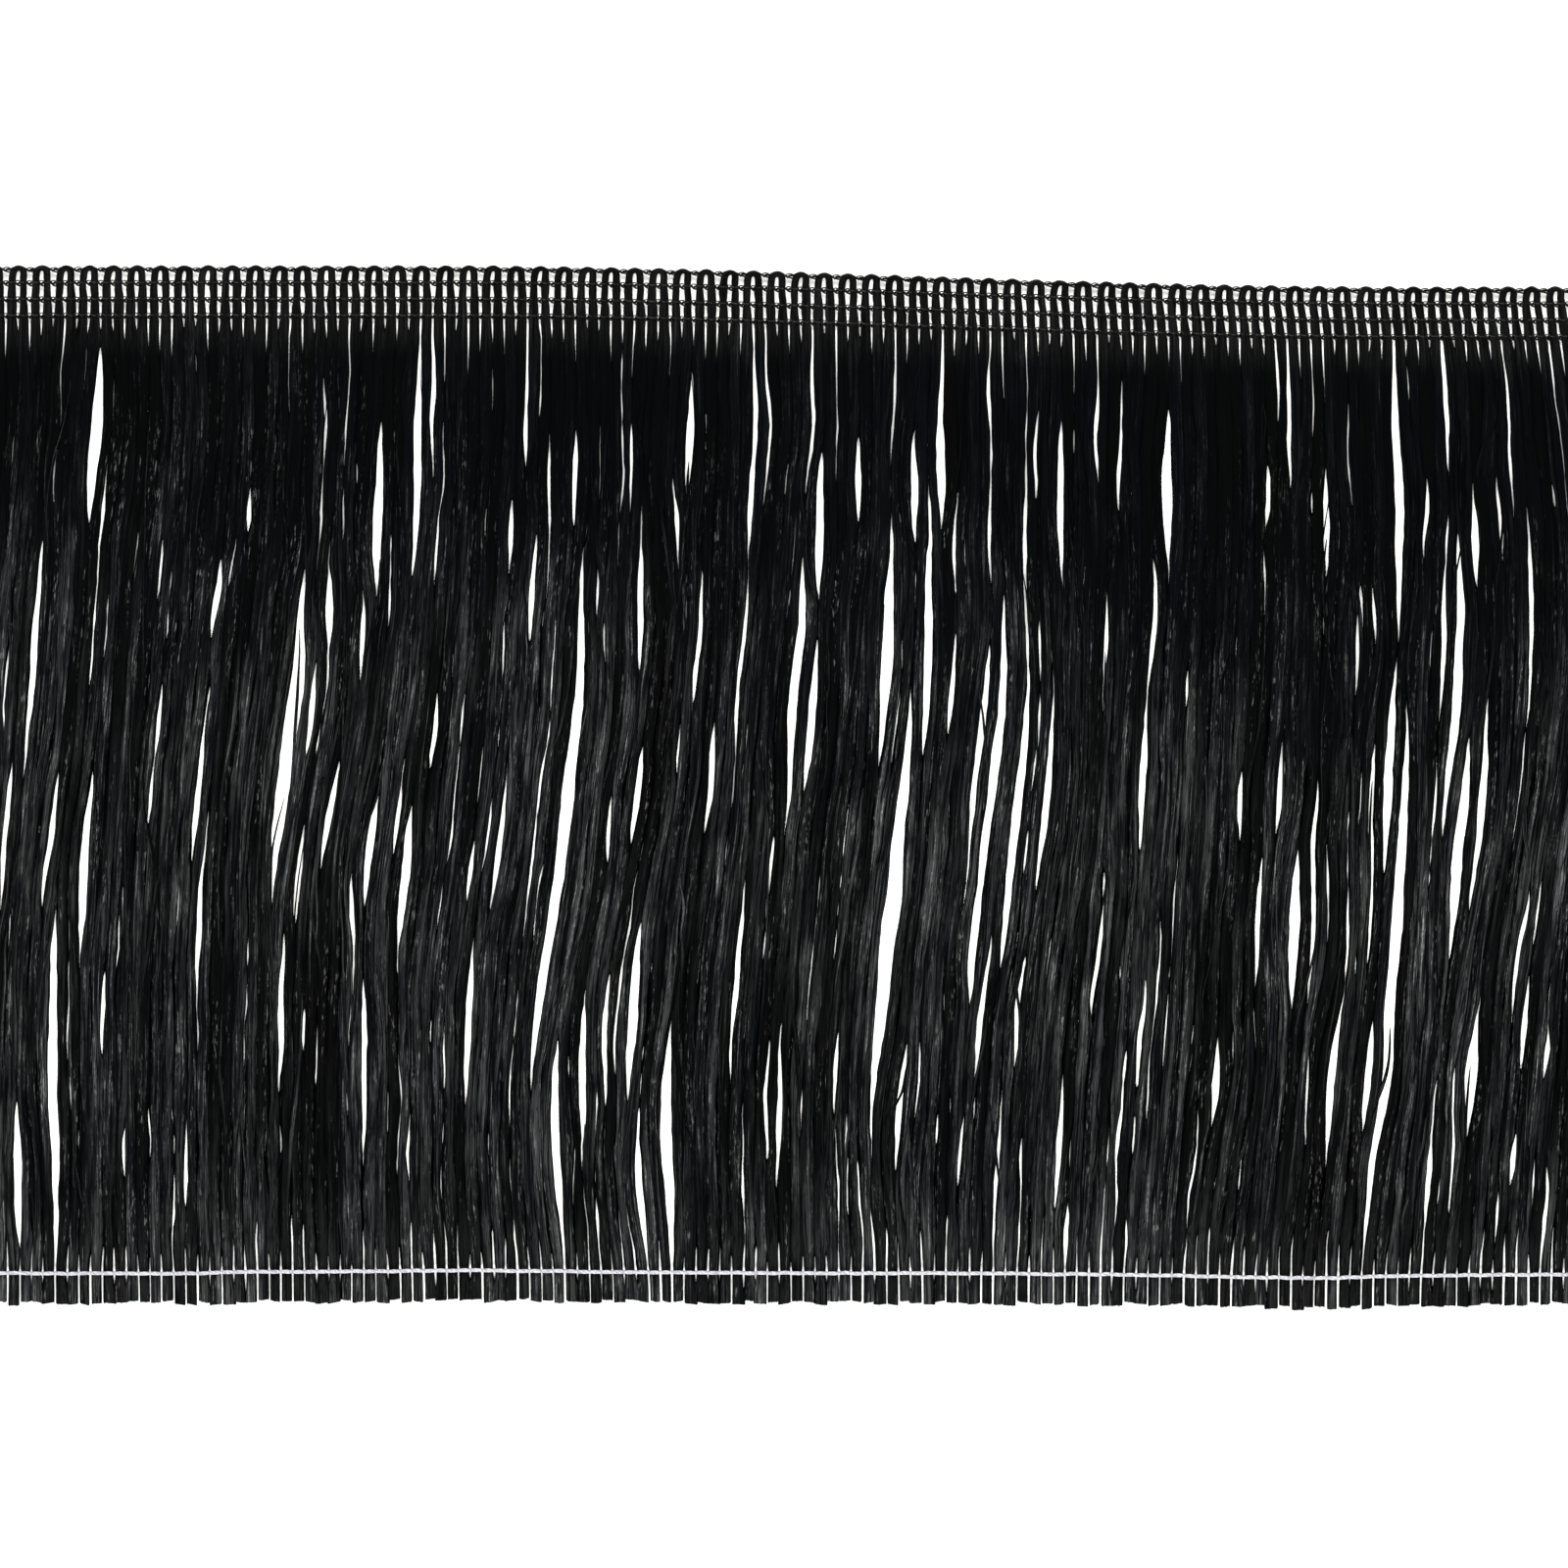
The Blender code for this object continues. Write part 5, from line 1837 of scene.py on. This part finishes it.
@dataclass(frozen=True)
class Studio:
    """Pale floor, soft lights and the camera over the fringe."""

    view_width: float = 320.0 * MM
    view_x: float = -3.2 * MM
    view_y: float = 0.7 * MM
    lens: float = 200.0
    sensor: float = 36.0
    floor_half: float = 4.0
    floor_drop: float = 0.05 * MM
    floor_colour: Colour = (0.98, 0.98, 0.97, 1.0)
    floor_speck: Colour = (0.88, 0.87, 0.82, 1.0)
    floor_roughness: float = 0.9
    grain_scale: float = 2400.0
    grain_edges: Rise = Rise(0.3, 0.7)
    sky_strength: float = 0.035
    side_power: float = 20.0
    end_power: float = 112.0
    side_distance: float = 1.7
    end_distance: float = 2.0
    side_height: float = 1.5
    end_height: float = 1.5
    light_size: float = 1.2
    nearest_seen: float = 0.1
    furthest_seen: float = 20.0

    def build_floor(self) -> None:
        """Build the floor just below what rests on it."""
        half, low = self.floor_half, -self.floor_drop
        mesh = bpy.data.meshes.new("floor")
        mesh.from_pydata([(-half, -half, low), (half, -half, low), (half, half, low), (-half, half, low)],
                         [], [(0, 1, 2, 3)])
        floor = bpy.data.objects.new("floor", mesh)
        bpy.context.scene.collection.objects.link(floor)
        material, sheet, shader = start_material("pale_floor")
        place = sheet.add("ShaderNodeTexCoord").outputs["Object"]
        grain = sheet.add("ShaderNodeTexNoise", Vector=place, Scale=self.grain_scale, Detail=2.0,
                          Roughness=0.7).outputs[0]
        sheet.feed(shader.inputs["Base Color"],
                   sheet.blend(sheet.rise(grain, self.grain_edges), self.floor_speck, self.floor_colour))
        shader.inputs["Roughness"].default_value = self.floor_roughness
        shader.inputs["Specular IOR Level"].default_value = 0.0
        mesh.materials.append(material)

    def build_lights(self) -> None:
        """Hang a soft light on each side of the fringe and past each end, and add a little even light."""
        aside, ahead = self.side_distance, self.end_distance
        places = (("left", -aside, 0.0, self.side_height, self.side_power),
                  ("right", aside, 0.0, self.side_height, self.side_power),
                  ("front", 0.0, -ahead, self.end_height, self.end_power),
                  ("back", 0.0, ahead, self.end_height, self.end_power))
        for name, x, y, height, power in places:
            light = bpy.data.lights.new(f"{name}_softbox", "AREA")
            light.shape = "SQUARE"
            light.size = self.light_size
            light.energy = power
            lamp = bpy.data.objects.new(light.name, light)
            lamp.location = (x, y, height)
            lamp.rotation_euler = (-Vector(lamp.location)).to_track_quat("-Z", "Y").to_euler()
            lamp.visible_camera = False
            bpy.context.scene.collection.objects.link(lamp)
        world = bpy.data.worlds.new("even_light")
        world.use_nodes = True
        sky = world.node_tree.nodes["Background"].inputs
        sky["Color"].default_value = (1.0, 1.0, 1.0, 1.0)
        sky["Strength"].default_value = self.sky_strength
        bpy.context.scene.world = world

    def build_camera(self) -> None:
        """Hang the camera straight above the middle of the picture, far enough for a flat view."""
        data = bpy.data.cameras.new("camera")
        data.lens = self.lens
        data.sensor_width = self.sensor
        distance = 0.5 * self.view_width / (0.5 * self.sensor / self.lens)
        camera = bpy.data.objects.new("camera", data)
        camera.location = (self.view_x, self.view_y, distance)
        data.clip_start = self.nearest_seen
        data.clip_end = self.furthest_seen
        bpy.context.scene.collection.objects.link(camera)
        bpy.context.scene.camera = camera

    def build(self) -> None:
        """Set up the floor, the lights, the camera and a plain view of colours."""
        self.build_floor()
        self.build_lights()
        self.build_camera()
        bpy.context.scene.view_settings.view_transform = "Standard"


def main() -> None:
    """Build the fringe and its studio in order."""
    logging.basicConfig(level=logging.INFO, format="%(name)s: %(message)s")
    layout = FringeLayout()
    fibres = lengthwise_fibre_group()
    raffia = RaffiaFinish().make(fibres)
    black = BLACK_THREAD.make(fibres)
    white = WHITE_THREAD.make(fibres)
    yarn = RaffiaYarn(layout)
    loops = yarn.surface()
    yarn.build(loops, raffia)
    SplitStrands().build(loops, yarn.top_points, raffia)
    rows = (StitchRow.HUMPS, StitchRow.BAND, StitchRow.BAND, StitchRow.BAND)
    for number, row in enumerate(rows, start=1):
        HeadingStitch(layout, number, row).build(black)
    HoldingStitch(layout).build(layout.legs(yarn.leg_share()), white)
    Studio().build()


if __name__ == "__main__":
    main()
